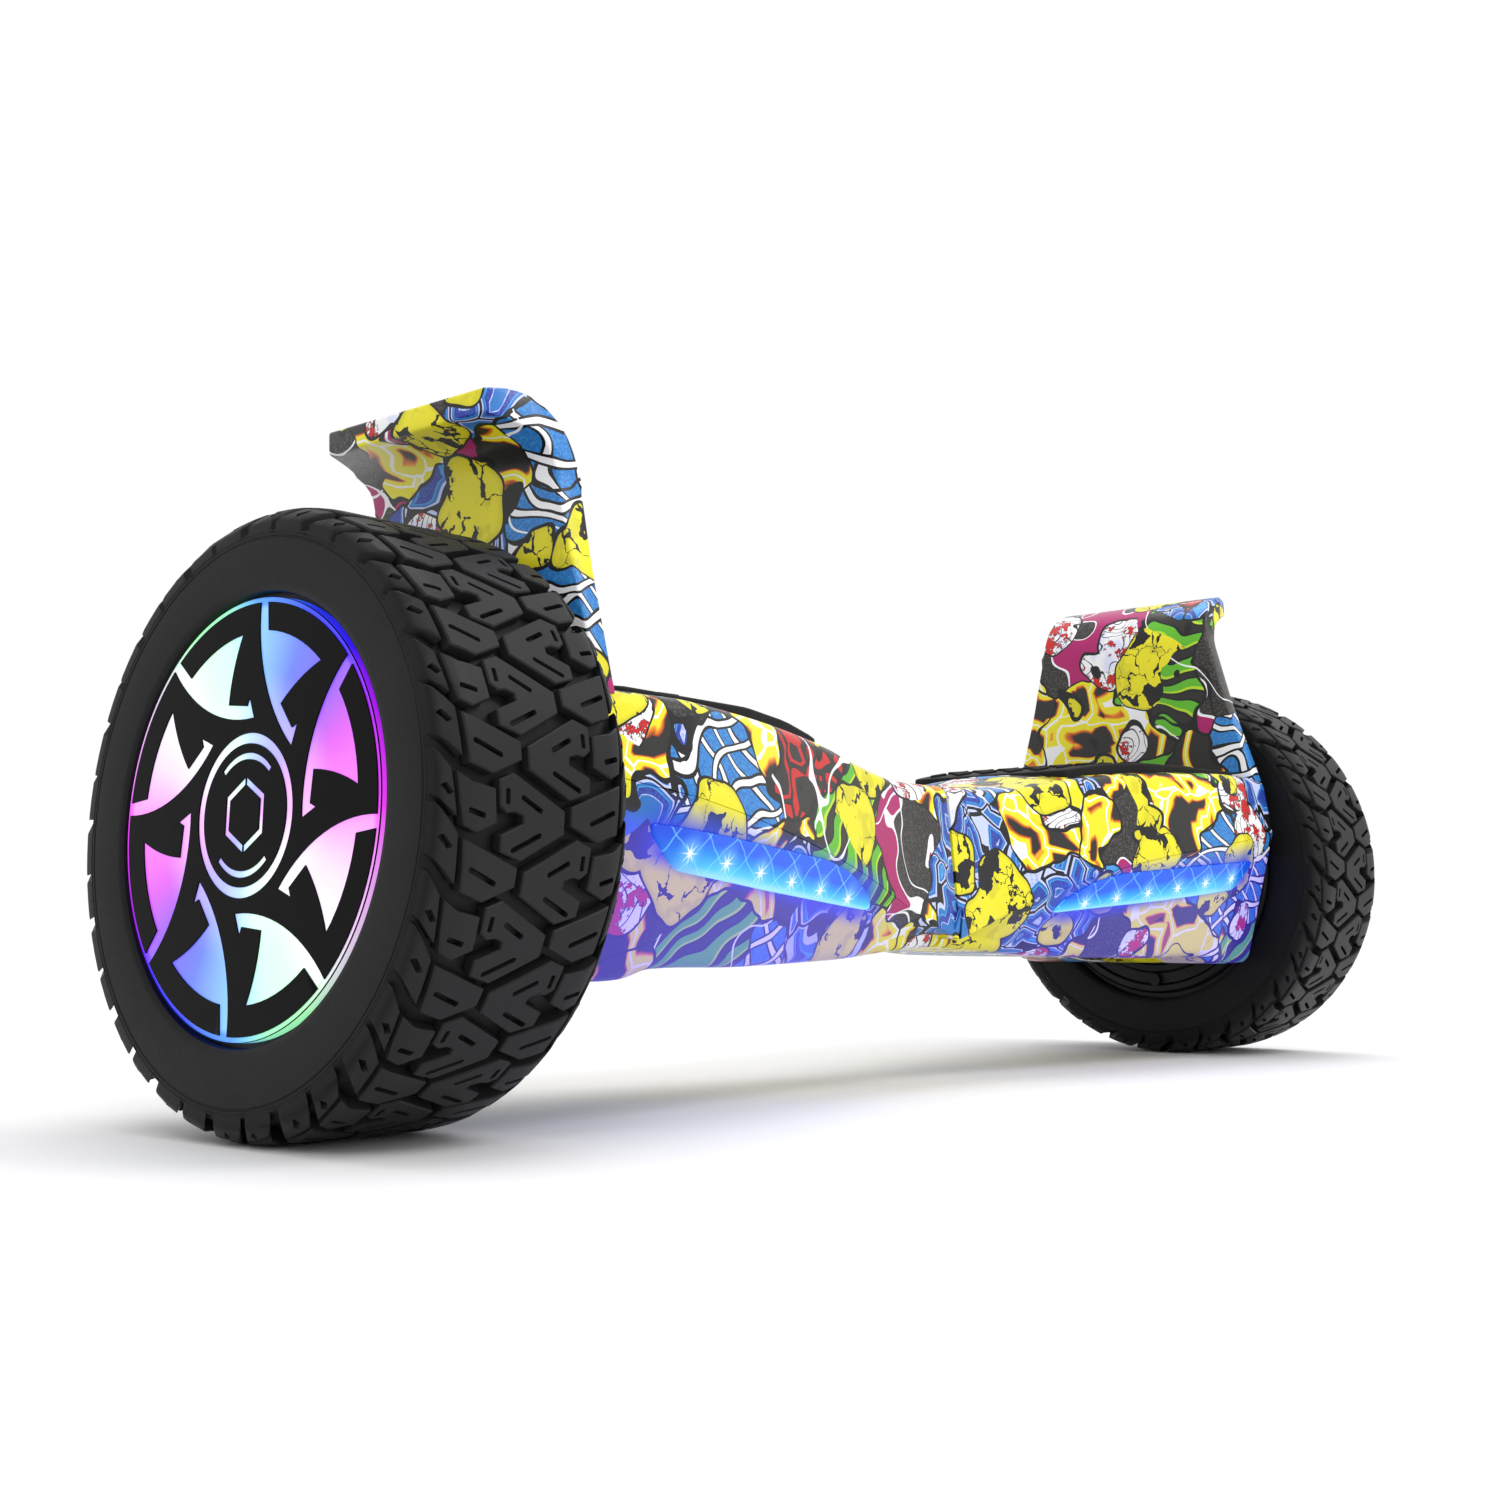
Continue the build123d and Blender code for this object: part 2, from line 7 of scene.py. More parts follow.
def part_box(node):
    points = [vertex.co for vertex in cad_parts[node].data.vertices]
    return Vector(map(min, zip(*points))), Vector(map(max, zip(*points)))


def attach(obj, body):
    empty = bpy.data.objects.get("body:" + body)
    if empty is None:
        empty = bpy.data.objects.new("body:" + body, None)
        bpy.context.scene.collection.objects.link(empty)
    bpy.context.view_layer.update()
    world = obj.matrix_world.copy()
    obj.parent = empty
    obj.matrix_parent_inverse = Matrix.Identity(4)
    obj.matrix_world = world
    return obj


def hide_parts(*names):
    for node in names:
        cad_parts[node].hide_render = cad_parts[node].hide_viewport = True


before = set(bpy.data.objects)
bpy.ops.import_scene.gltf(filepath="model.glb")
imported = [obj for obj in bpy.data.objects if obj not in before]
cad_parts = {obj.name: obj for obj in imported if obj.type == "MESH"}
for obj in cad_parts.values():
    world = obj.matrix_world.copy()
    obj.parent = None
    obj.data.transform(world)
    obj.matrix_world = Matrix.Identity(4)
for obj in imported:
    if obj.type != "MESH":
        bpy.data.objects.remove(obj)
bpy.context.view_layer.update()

mm = 0.001
print("frame loaded, nodes:", len(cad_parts))


# small helpers
def place(names, index):
    # lowest or highest corner of a CAD node, in mm
    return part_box(names)[index] * 1000


def deselectAll():
    if bpy.context.object and bpy.context.object.mode != "OBJECT":
        bpy.ops.object.mode_set(mode="OBJECT")
    bpy.ops.object.select_all(action="DESELECT")


def activate(obj):
    deselectAll()
    obj.select_set(True)
    bpy.context.view_layer.objects.active = obj


def editMode(kind="VERT"):
    bpy.ops.object.mode_set(mode="EDIT")
    bpy.ops.mesh.select_mode(type=kind)
    bpy.ops.mesh.select_all(action="DESELECT")


def objectMode():
    bpy.ops.object.mode_set(mode="OBJECT")


def pick(obj, kind, test):
    # select what passes the test; leaves the piece in edit mode
    activate(obj)
    editMode(kind)
    objectMode()
    mesh = obj.data
    items = {"VERT": mesh.vertices, "EDGE": mesh.edges, "FACE": mesh.polygons}[kind]
    for item in items:
        item.select = bool(test(item))
    bpy.ops.object.mode_set(mode="EDIT")


def addModifier(obj, kind, **values):
    activate(obj)
    made = obj.modifiers.new(kind.lower(), kind)
    for key, value in values.items():
        setattr(made, key, value)
    bpy.ops.object.modifier_apply(modifier=made.name)


def bevelEdges(obj, width, segments=2, angle=35):
    addModifier(obj, "BEVEL", width=width * mm, segments=segments, limit_method="ANGLE",
                angle_limit=math.radians(angle), harden_normals=False)


def smooth(obj, angle=35):
    activate(obj)
    bpy.ops.object.shade_smooth_by_angle(angle=math.radians(angle))


def tidyMesh(obj, distance=0.01):
    # merge doubles and turn every face outwards
    activate(obj)
    editMode()
    bpy.ops.mesh.select_all(action="SELECT")
    bpy.ops.mesh.remove_doubles(threshold=distance * mm)
    bpy.ops.mesh.normals_make_consistent(inside=False)
    objectMode()


def joined(parts, name):
    deselectAll()
    for part in parts:
        part.select_set(True)
    bpy.context.view_layer.objects.active = parts[0]
    if len(parts) > 1:
        bpy.ops.object.join()
    whole = bpy.context.view_layer.objects.active
    whole.name = name
    return whole


def copyOf(obj, name, matrix=None):
    activate(obj)
    bpy.ops.object.duplicate()
    twin = bpy.context.view_layer.objects.active
    twin.name = name
    if matrix is not None:
        twin.data.transform(matrix)
        if matrix.determinant() < 0:
            twin.data.flip_normals()
    return twin


mirrorX = Matrix.Scale(-1, 4, (1, 0, 0))


def plate(name, outline, low, high, placed):
    # a prism: outline points, drawn flat, pushed from low to high; placed turns (a, b, height) into x, y, z
    bpy.ops.mesh.primitive_circle_add(vertices=len(outline), radius=0.01, fill_type="NGON")
    obj = bpy.context.object
    obj.name = name
    for vertex, (a, b) in zip(obj.data.vertices, outline):
        vertex.co = (a * mm, b * mm, low * mm)
    editMode()
    bpy.ops.mesh.select_all(action="SELECT")
    bpy.ops.mesh.extrude_region_move(TRANSFORM_OT_translate={"value": (0, 0, (high - low) * mm)})
    objectMode()
    obj.data.transform(Matrix.Scale(1 / mm, 4))
    for vertex in obj.data.vertices:
        vertex.co = placed(*vertex.co)
    obj.data.transform(Matrix.Scale(mm, 4))
    tidyMesh(obj)
    return obj


def turned(name, profile, steps, wheelX):
    # spin a closed (distance from wheel centre, radius) profile round the axle
    bpy.ops.mesh.primitive_circle_add(vertices=len(profile), radius=0.01)
    obj = bpy.context.object
    obj.name = name
    for vertex, (u, r) in zip(obj.data.vertices, profile):
        vertex.co = ((wheelX + u) * mm, 0, (wheel["z"] + r) * mm)
    editMode()
    bpy.ops.mesh.select_all(action="SELECT")
    bpy.ops.mesh.spin(steps=steps, angle=2 * math.pi, center=(0, 0, wheel["z"] * mm), axis=(1, 0, 0))
    objectMode()
    tidyMesh(obj)
    return obj


def cut(obj, cutter, operation="DIFFERENCE"):
    addModifier(obj, "BOOLEAN", object=cutter, operation=operation, solver="EXACT")
    bpy.data.objects.remove(cutter)


def mesh(name, across, along, position):
    # a grid laid onto a surface; position takes two shares from 0 to 1 and gives mm
    bpy.ops.mesh.primitive_grid_add(x_subdivisions=across, y_subdivisions=along, size=1)
    obj = bpy.context.object
    obj.name = name
    for vertex in obj.data.vertices:
        vertex.co = Vector(position(vertex.co.x + 0.5, vertex.co.y + 0.5)) * mm
    return obj


def dress(obj, body, slotName, finish, nodes=(), angle=35):
    smooth(obj, angle)
    obj.data.materials.clear()
    obj.data.materials.append(finish)
    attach(obj, body)
    if nodes:
        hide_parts(*nodes)
    return obj


# shader building
class Wire:
    # one socket of a material's nodes, with arithmetic
    def __init__(self, finish, socket):
        self.finish, self.socket = finish, socket

    def math(self, operation, *values):
        return self.finish.add("ShaderNodeMath", {"operation": operation}, dict(enumerate(values)))

    def __add__(self, other):
        return self.math("ADD", self, other)

    def __radd__(self, other):
        return self.math("ADD", other, self)

    def __sub__(self, other):
        return self.math("SUBTRACT", self, other)

    def __rsub__(self, other):
        return self.math("SUBTRACT", other, self)

    def __mul__(self, other):
        return self.math("MULTIPLY", self, other)

    def __rmul__(self, other):
        return self.math("MULTIPLY", other, self)

    def __truediv__(self, other):
        return self.math("DIVIDE", self, other)

    def __rtruediv__(self, other):
        return self.math("DIVIDE", other, self)

    def __gt__(self, other):
        return self.math("GREATER_THAN", self, other)

    def __lt__(self, other):
        return self.math("LESS_THAN", self, other)

    def __abs__(self):
        return self.math("ABSOLUTE", self)

    def most(self, other):
        return self.math("MAXIMUM", self, other)

    def least(self, other):
        return self.math("MINIMUM", self, other)

    def root(self):
        return self.math("SQRT", self)

    def rounded(self):
        return self.math("ROUND", self)

    def part(self):
        return self.math("FRACT", self)

    def near(self, centre, width):
        # 1 inside a band round a value
        return abs(self - centre) < width

    def ease(self, low, high):
        # smooth step from 0 at low to 1 at high
        return self.finish.add("ShaderNodeMapRange", {"interpolation_type": "SMOOTHSTEP"},
                               {0: self, 1: low, 2: high, 3: 0.0, 4: 1.0})


class Finish:
    # a material under construction
    def __init__(self, name, **fixed):
        self.material = bpy.data.materials.new(name)
        self.material.use_nodes = True
        self.tree = self.material.node_tree
        self.tree.nodes.clear()
        self.shader = self.tree.nodes.new("ShaderNodeBsdfPrincipled")
        out = self.tree.nodes.new("ShaderNodeOutputMaterial")
        self.tree.links.new(self.shader.outputs[0], out.inputs[0])
        for key, value in fixed.items():
            self.shader.inputs[key.replace("_", " ")].default_value = value

    def add(self, kind, settings=None, inputs=None, output=0):
        made = self.tree.nodes.new(kind)
        for key, value in (settings or {}).items():
            if key == "stops":
                self.fillRamp(made.color_ramp, value)
            else:
                setattr(made, key, value)
        for key, value in (inputs or {}).items():
            if isinstance(value, Wire):
                self.tree.links.new(value.socket, made.inputs[key])
            else:
                made.inputs[key].default_value = value
        return Wire(self, made.outputs[output])

    def fillRamp(self, ramp, stops):
        while len(ramp.elements) < len(stops):
            ramp.elements.new(1.0)
        for element, (position, colour) in zip(ramp.elements, stops):
            element.position = position
            element.color = (*colour, 1)

    def spot(self):
        return self.add("ShaderNodeTexCoord", None, None, 3)

    def axes(self, vector):
        split = self.add("ShaderNodeSeparateXYZ", None, {0: vector}).socket.node
        return [Wire(self, split.outputs[i]) for i in range(3)]

    def vector(self, operation, a, b, scale=None):
        inputs = {0: a, 1: b} if scale is None else {0: a, 3: scale}
        return self.add("ShaderNodeVectorMath", {"operation": operation}, inputs)

    def mix(self, share, a, b, blend="MIX"):
        return self.add("ShaderNodeMix", {"data_type": "RGBA", "blend_type": blend},
                        {0: share, 6: rgba(a), 7: rgba(b)}, 2)

    def ramp(self, value, stops, interpolation="LINEAR"):
        made = self.add("ShaderNodeValToRGB", {"stops": stops}, {0: value})
        made.socket.node.color_ramp.interpolation = interpolation
        return made

    def noise(self, vector, scale, detail=2.0, output=0, rough=0.5):
        return self.add("ShaderNodeTexNoise", None,
                        {"Vector": vector, "Scale": scale, "Detail": detail, "Roughness": rough}, output)

    def cells(self, vector, scale, feature="F1", output=0, randomness=1.0):
        return self.add("ShaderNodeTexVoronoi", {"feature": feature},
                        {"Vector": vector, "Scale": scale, "Randomness": randomness}, output)

    def blocks(self, vector, scale, feature):
        # square-cornered cells
        return self.add("ShaderNodeTexVoronoi", {"feature": feature, "distance": "CHEBYCHEV"},
                        {"Vector": vector, "Scale": scale}, 0)

    def bump(self, height, distance, strength=1.0):
        values = {"Strength": strength, "Distance": distance, "Height": height}
        self.link("Normal", self.add("ShaderNodeBump", None, values))

    def link(self, name, value):
        if isinstance(value, Wire):
            self.tree.links.new(value.socket, self.shader.inputs[name])
        else:
            self.shader.inputs[name].default_value = value


def rgba(colour):
    return (*colour, 1) if isinstance(colour, tuple) and len(colour) == 3 else colour


# sizes, in mm, as the frame has them
wheel = {
    "x": (place("right_tyre", 0).x + place("right_tyre", 1).x) / 2,
    "z": (place("right_tyre", 0).z + place("right_tyre", 1).z) / 2,
    "radius": (place("right_tyre", 1).z - place("right_tyre", 0).z) / 2,
    "halfWidth": (place("right_tyre", 1).x - place("right_tyre", 0).x) / 2,
    "discRadius": (place("right_hub_mask", 1).z - place("right_hub_mask", 0).z) / 2,
}

body = {
    "station": [1, 40, 75, 110, 160, 215, 231, 262],
    "crestDepth": [50, 52.5, 60, 67, 77.5, 87, 86, 83.5],
    "crestHeight": [66, 78.5, 89.3, 98.5, 108.3, 116.6, 118.8, 123],
    "topDepth": [44, 46, 53, 60, 71, 81, 80.5, 79],
    "topHeight": [135.5, 136, 140, 146, 150.5, 153, 153.3, 153.5],
    "crownHeight": [138, 138.5, 144, 151.5, 156, 156.5, 156.5, 156.5],
    "baseDepth": [38, 40, 44, 50, 58, 63, 63.3, 63.6],
    "baseHeight": [62, 60, 57.5, 56.5, 55.5, 55.5, 52, 52],
    "wall": 3.0,
    "gap": 0.35,
    "steps": 66,
}


def atStation(name, x):
    # smooth value of a section size at distance x from the middle of the board
    xs, ys = body["station"], body[name]
    x = min(max(x, xs[0]), xs[-1])
    i = max(k for k in range(len(xs) - 1) if xs[k] <= x)
    slopes = []
    for k in (i, i + 1):
        low, high = max(k - 1, 0), min(k + 1, len(xs) - 1)
        slopes.append((ys[high] - ys[low]) / (xs[high] - xs[low]))
    span = xs[i + 1] - xs[i]
    t = (x - xs[i]) / span
    a = (1 + 2 * t) * (1 - t) ** 2 * ys[i] + t * t * (3 - 2 * t) * ys[i + 1]
    return a + span * (t * (1 - t) ** 2 * slopes[0] - t * t * (1 - t) * slopes[1])


def curvePoint(points, share):
    # point at a share of the length of a smooth line through the points
    lengths = [math.dist(a, b) for a, b in zip(points, points[1:])]
    run = share * sum(lengths)
    i = 0
    while i < len(lengths) - 1 and run > lengths[i]:
        run -= lengths[i]
        i += 1
    t = min(run / lengths[i], 1)
    p = [points[max(i - 1, 0)], points[i], points[i + 1], points[min(i + 2, len(points) - 1)]]
    return tuple(0.5 * (2 * p[1][k] + (p[2][k] - p[0][k]) * t
                        + (2 * p[0][k] - 5 * p[1][k] + 4 * p[2][k] - p[3][k]) * t * t
                        + (3 * p[1][k] - p[0][k] - 3 * p[2][k] + p[3][k]) * t ** 3) for k in (0, 1))


def bentCorner(a, corner, b, t):
    return tuple((1 - t) ** 2 * a[k] + 2 * t * (1 - t) * corner[k] + t * t * b[k] for k in (0, 1))


def straightRun(a, b, count):
    # points from a towards b, b left out
    return [tuple(a[k] + (b[k] - a[k]) * t / count for k in (0, 1)) for t in range(count)]


def upperSide(x):
    # front half of the upper casing's section, from the crest to the crown, as (depth, height)
    crest, crestZ = atStation("crestDepth", x), atStation("crestHeight", x) + body["gap"] / 2
    top, topZ, crown = atStation("topDepth", x), atStation("topHeight", x), atStation("crownHeight", x)
    facetEnd, topStart = (top + 1.0, topZ - 5.5), (top - 6.5, topZ + 1.0)
    points = straightRun((crest, crestZ), facetEnd, 7)
    points += [bentCorner(facetEnd, (top + 0.3, topZ + 0.5), topStart, t / 6) for t in range(7)]
    for t in range(1, 9):
        y = topStart[0] * (1 - t / 8)
        points.append((y, crown - (crown - topStart[1]) * (y / topStart[0]) ** 2))
    return points


def lowerSide(x):
    # front half of the lower casing's section, from the crest to the middle of the base
    crest, crestZ = atStation("crestDepth", x), atStation("crestHeight", x) - body["gap"] / 2
    base, baseZ = atStation("baseDepth", x), atStation("baseHeight", x)
    facetEnd, flatStart = (base + 1.9, baseZ + 6), (base - 5.5, baseZ)
    points = straightRun((crest, crestZ), facetEnd, 9)
    points += [bentCorner(facetEnd, (base + 0.2, baseZ), flatStart, t / 5) for t in range(6)]
    points += [(flatStart[0] * (1 - t / 5), baseZ) for t in range(1, 6)]
    return points


def aroundSection(side, x, share):
    # a share of the way round: front crest, middle, rear crest
    points = side(x)
    both = [(-y, z) for y, z in points] + [(y, z) for y, z in reversed(points[:-1])]
    spot = share * (len(both) - 1)
    i = min(int(spot), len(both) - 2)
    t = spot - i
    return tuple(both[i][k] * (1 - t) + both[i + 1][k] * t for k in (0, 1))


def frontFacetDepth(x, z):
    # how far forward the lower front facet is at a place
    crest, base = atStation("crestDepth", x), atStation("baseDepth", x) + 1.9
    crestZ, baseZ = atStation("crestHeight", x), atStation("baseHeight", x) + 6
    return base + (crest - base) * (z - baseZ) / (crestZ - baseZ)


# camera, floor and light
view = {
    "place": (-0.70162, -0.53429, 0.06947),
    "yaw": 0.718,
    "pitch": 0.2146,
    "lens": 43.02,
    "shift": -0.1399,
    "sensor": 36,
    "floorSize": 60,
    "floorTone": 0.78,
    "sky": 1.0,
}


def makeCamera():
    data = bpy.data.cameras.new("viewCamera")
    camera = bpy.data.objects.new("viewCamera", data)
    bpy.context.scene.collection.objects.link(camera)
    data.lens = view["lens"]
    data.sensor_width = view["sensor"]
    data.shift_y = view["shift"]
    data.clip_start = 0.01
    camera.location = view["place"]
    level = math.cos(view["pitch"])
    ahead = Vector((level * math.cos(view["yaw"]), level * math.sin(view["yaw"]), math.sin(view["pitch"])))
    camera.rotation_euler = ahead.to_track_quat("-Z", "Y").to_euler()
    bpy.context.scene.camera = camera


def makeStage():
    bpy.ops.mesh.primitive_plane_add(size=view["floorSize"], location=(0, 0, 0))
    floor = bpy.context.object
    floor.name = "floor"
    tone = view["floorTone"]
    finish = Finish("paleFloor", Base_Color=(tone, tone, tone + 0.01, 1), Specular_IOR_Level=0.3)
    finish.link("Roughness", finish.noise(finish.spot(), 3.0) * 0.1 + 0.6)
    floor.data.materials.append(finish.material)
    world = bpy.data.worlds.new("paleSky")
    world.use_nodes = True
    world.node_tree.nodes["Background"].inputs[0].default_value = (1, 1, 1, 1)
    world.node_tree.nodes["Background"].inputs[1].default_value = view["sky"]
    bpy.context.scene.world = world
    bpy.context.scene.view_settings.view_transform = "Standard"


def makeLight(kind, name, spot, aim, size, power):
    # size is the width of a softbox, or the angle a sun fills
    data = bpy.data.lights.new(name, kind)
    data.energy = power
    if kind == "SUN":
        data.angle = math.radians(size)
    else:
        data.size = size
    lightObject = bpy.data.objects.new(name, data)
    bpy.context.scene.collection.objects.link(lightObject)
    lightObject.location = spot
    lightObject.rotation_euler = (Vector(aim) - Vector(spot)).to_track_quat("-Z", "Y").to_euler()


makeCamera()
makeStage()
makeLight("SUN", "highSun", (0.25, 0.1, 1.6), (0, 0, 0.1), 45, 1.15)
makeLight("AREA", "frontSoftbox", (0.5, -1.2, 1.5), (-0.2, 0, 0.1), 0.7, 11)
makeLight("AREA", "sideSoftbox", (-1.3, -1.0, 1.3), (-0.3, 0, 0.1), 0.5, 5)
print("camera, floor and lights made")


# finishes
ink = (0.006, 0.006, 0.007)
printColours = {
    "yellow": (0.74, 0.67, 0.012),
    "olive": (0.46, 0.42, 0.012),
    "deepBlue": (0.022, 0.035, 0.30),
    "midBlue": (0.018, 0.15, 0.46),
    "paleBlue": (0.06, 0.33, 0.66),
    "lilac": (0.50, 0.55, 0.86),
    "white": (0.80, 0.80, 0.82),
    "red": (0.50, 0.010, 0.010),
    "magenta": (0.36, 0.006, 0.12),
    "orange": (0.78, 0.22, 0.006),
    "green": (0.10, 0.42, 0.02),
    "charcoal": (0.018, 0.017, 0.016),
    "chalk": (0.11, 0.10, 0.095),
}


def drifted(finish, spot, scale, detail, reach):
    # places pulled about by noise, up to about a third of the reach
    pull = finish.vector("SUBTRACT", finish.noise(spot, scale, detail, 1), (0.5, 0.5, 0.5))
    return finish.vector("ADD", spot, finish.vector("SCALE", pull, None, reach))


def blockEdge(finish, spot, scale):
    # distance from the edges between square cells, in mm
    return (finish.blocks(spot, scale, "F2") - finish.blocks(spot, scale, "F1")) * (1000 / scale)


def onWheel(finish):
    # place on the side of a wheel: towards the rear, up from the axle, and distance from it in mm
    _, y, z = finish.axes(finish.spot())
    up = z - wheel["z"] * mm
    return y, up, (y * y + up * up).root() * 1000


def stoneColour(finish, spot, reach):
    # yellow stone with cracks, dark hollows and a shaded rim
    c = printColours
    frayed = drifted(finish, spot, 150.0, 3.0, 0.010)
    web = finish.cells(frayed, 66.0, "DISTANCE_TO_EDGE")
    crack = web < (0.012 + 0.05 * finish.noise(spot, 85.0).ease(0.46, 0.72))
    broken = finish.noise(spot, 64.0, 2.0) > 0.46
    pits = finish.noise(finish.vector("ADD", frayed, (0.3, 0.1, 0.7)), 58.0, 2.0)
    shade = finish.noise(spot, 75.0, 3.0).ease(0.54, 0.62) * 0.5
    stone = finish.mix(shade.most(reach.ease(0.36, 0.48) * 0.8), c["yellow"], c["olive"])
    return finish.mix((crack * broken).most(pits > 0.60), stone, ink)


def paperColour(finish, spot):
    # white with torn red, thin drawn lines and a little blue
    c = printColours
    torn = finish.noise(spot, 88.0, 5.0, 0, 0.72)
    lines = finish.noise(drifted(finish, spot, 30.0, 1.0, 0.02), 40.0, 0.5)
    paper = finish.mix(finish.noise(spot, 60.0, 2.0).ease(0.5, 0.62) * 0.5, c["white"], c["lilac"])
    paper = finish.mix((lines * 13.0).part() < 0.13, paper, ink)
    paper = finish.mix(torn > 0.545, paper, c["red"])
    return finish.mix(torn.near(0.545, 0.009), paper, ink)


def stuckOn(finish, under, sheet, spot, scale, share, size, line):
    # a sheet cut to loose round shapes, outlined in black, over what is under it
    chosen = finish.axes(finish.cells(spot, scale, "F1", 1))[1] < share
    reach = finish.cells(spot, scale, "F1", 0)
    shape = finish.mix(reach > (size - line), sheet(reach), ink)
    return finish.mix(chosen * (reach < size), under, shape)


def printedColour(finish, shift):
    # street-art print: brushed grounds, glowing strokes and block shapes, with stones and torn paper on top
    c = printColours
    spot = finish.vector("ADD", finish.spot(), shift)
    bent = drifted(finish, spot, 21.0, 2.5, 0.060)
    loose = drifted(finish, spot, 32.0, 0.6, 0.030)
    kind, tone = finish.axes(finish.cells(bent, 19.0, "F1", 1))[:2]
    edge = finish.cells(bent, 19.0, "DISTANCE_TO_EDGE") * (1000 / 19.0)
    x, y, z = finish.axes(loose)
    grain = finish.noise(spot, 900.0, 2.0)

    # glowing strokes on black
    web = blockEdge(finish, finish.vector("ADD", loose, (0.61, 0.13, 0.29)), 40.0)
    glow = finish.ramp(web / 12.0, [(0.0, c["white"]), (0.045, c["white"]), (0.075, c["yellow"]),
                                    (0.32, c["yellow"]), (0.38, c["orange"]), (0.46, (0.34, 0.05, 0.005)),
                                    (0.51, c["charcoal"])])

    # blue block shapes with pale outlines
    block = blockEdge(finish, loose, 40.0)
    blue = finish.ramp(block / 10.0, [(0.0, ink), (0.09, c["lilac"]), (0.20, c["midBlue"]),
                                      (0.34, c["paleBlue"]), (0.40, c["deepBlue"]), (0.74, c["lilac"]),
                                      (0.80, c["midBlue"])], "CONSTANT")
    blue = finish.mix(grain.ease(0.46, 0.60) * (block > 2.0) * 0.45, blue, c["midBlue"])

    # chalky charcoal with magenta pools and a white line round them
    chalk = finish.mix(grain.ease(0.45, 0.68) * 0.6, c["charcoal"], c["chalk"])
    swirl = finish.noise(spot, 30.0, 1.0)
    chalk = finish.mix(swirl > 0.53, chalk, c["magenta"])
    chalk = finish.mix(swirl.near(0.53, 0.009), chalk, c["white"])

    # denim with laces
    denim = finish.mix(grain.ease(0.4, 0.7) * 0.6, c["midBlue"], c["paleBlue"])
    for direction in (1.0, -0.55):
        lace = ((x * direction + z - y * 0.4) * 62.0).part()
        denim = finish.mix(lace < 0.34, denim, ink)
        denim = finish.mix(lace.near(0.17, 0.09), denim, c["white"])

    # red blocks on charcoal, and green strokes
    ruby = finish.ramp(block / 10.0, [(0.0, c["charcoal"]), (0.16, ink), (0.22, c["red"]), (0.58, ink),
                                      (0.64, c["charcoal"])], "CONSTANT")
    leaf = finish.ramp(((x - z) * 64.0 + finish.noise(spot, 30.0, 1.0) * 1.6).part(),
                       [(0.0, c["green"]), (0.40, (0.42, 0.62, 0.02)), (0.52, ink), (0.60, c["charcoal"]),
                        (0.92, ink)], "CONSTANT")

    colour = glow
    for limit, patch in ((0.34, blue), (0.56, chalk), (0.67, denim), (0.77, ruby), (0.92, leaf)):
        colour = finish.mix(kind > limit, colour, patch)
    colour = finish.mix(edge < (0.5 + tone * 0.8), colour, ink)
    curl = finish.noise(spot, 17.0, 1.5)
    colour = finish.mix(curl.near(0.5, 0.0042) * (kind > 0.56), colour, c["white"])

    rounded = drifted(finish, spot, 30.0, 1.5, 0.026)
    elsewhere = finish.vector("ADD", rounded, (0.43, 0.21, 0.95))
    colour = stuckOn(finish, colour, lambda reach: paperColour(finish, spot), elsewhere, 22.0, 0.50, 0.40,
                     0.026)
    return stuckOn(finish, colour, lambda reach: stoneColour(finish, spot, reach), rounded, 22.5, 0.78, 0.46,
                   0.026)


lamp = {
    "outline": [(73.5, 78), (159, 85), (220.5, 91.1), (235.6, 103.1), (237.5, 107.2), (186, 103.3),
                (118, 97.6), (98, 92.9), (78.6, 84.1)],
    "corner": 4.0,
    "proud": 1.1,
    "thickness": 3.0,
    "edgeRound": 0.9,
    # the row of lamps: first one, spacing, height of the first, rise along the board
    "firstLed": 95.7,
    "ledPitch": 23.9,
    "ledHeight": 82.6,
    "ledRise": 0.121,
    # edges as (height at the start, rise along the board)
    "start": 76,
    "glassBottom": (77.8, 0.088),
    "glassDepth": (6.5, 0.045),
    "spillOver": (85.5, 0.135),
    "spillUnder": (78.0, 0.17),
}


def lampLine(name, across):
    # height of one of the lamp's edges at a distance along the board
    height, rise = lamp[name]
    return height + (across - lamp["start"]) * rise


def lampSpill(finish):
    # painted light of the lamp on the casing round it: strength above, strength below
    x, y, z = finish.axes(finish.spot())
    across = abs(x) * 1000
    over = z * 1000 - lampLine("spillOver", across)
    under = lampLine("spillUnder", across) - z * 1000
    front = (0.0 - y) > 0.03
    inSpan = across.ease(64, 84) * (1.0 - across.ease(228, 246))
    above = (1.0 - over.ease(-1.0, 13.0)) * over.ease(-17.0, -9.0) * inSpan
    below = under.ease(-6.0, 2.0) * across.ease(24, 92)
    return above * front, below * front


def printFinish(name, shift, spill, farShare=1.0):
    finish = Finish(name, Specular_IOR_Level=0.3, Coat_Weight=0.12, Coat_Roughness=0.15)
    colour = printedColour(finish, shift)
    if spill:
        above, below = lampSpill(finish)
        # painted lamp light: the print round the lamp is tinted blue, mixed above it and multiplied below
        # it, and a blue emission makes the casing glow there
        colour = finish.mix(above * 0.90, colour, (0.006, 0.035, 0.42))
        colour = finish.mix(below * farShare, colour, (0.62, 0.56, 1.0), "MULTIPLY")
        glow = finish.mix(above, (0.0, 0.0, 0.0), (0.002, 0.035, 0.50))
        glow = finish.mix(below * farShare, glow, (0.075, 0.05, 0.74))
        finish.link("Emission Color", glow)
        finish.link("Emission Strength", 0.55)
    finish.link("Base Color", colour)
    peel = finish.noise(finish.spot(), 420.0, 2.0)
    finish.link("Roughness", peel * 0.14 + 0.27)
    finish.bump(peel, 0.00006, 0.5)
    return finish.material


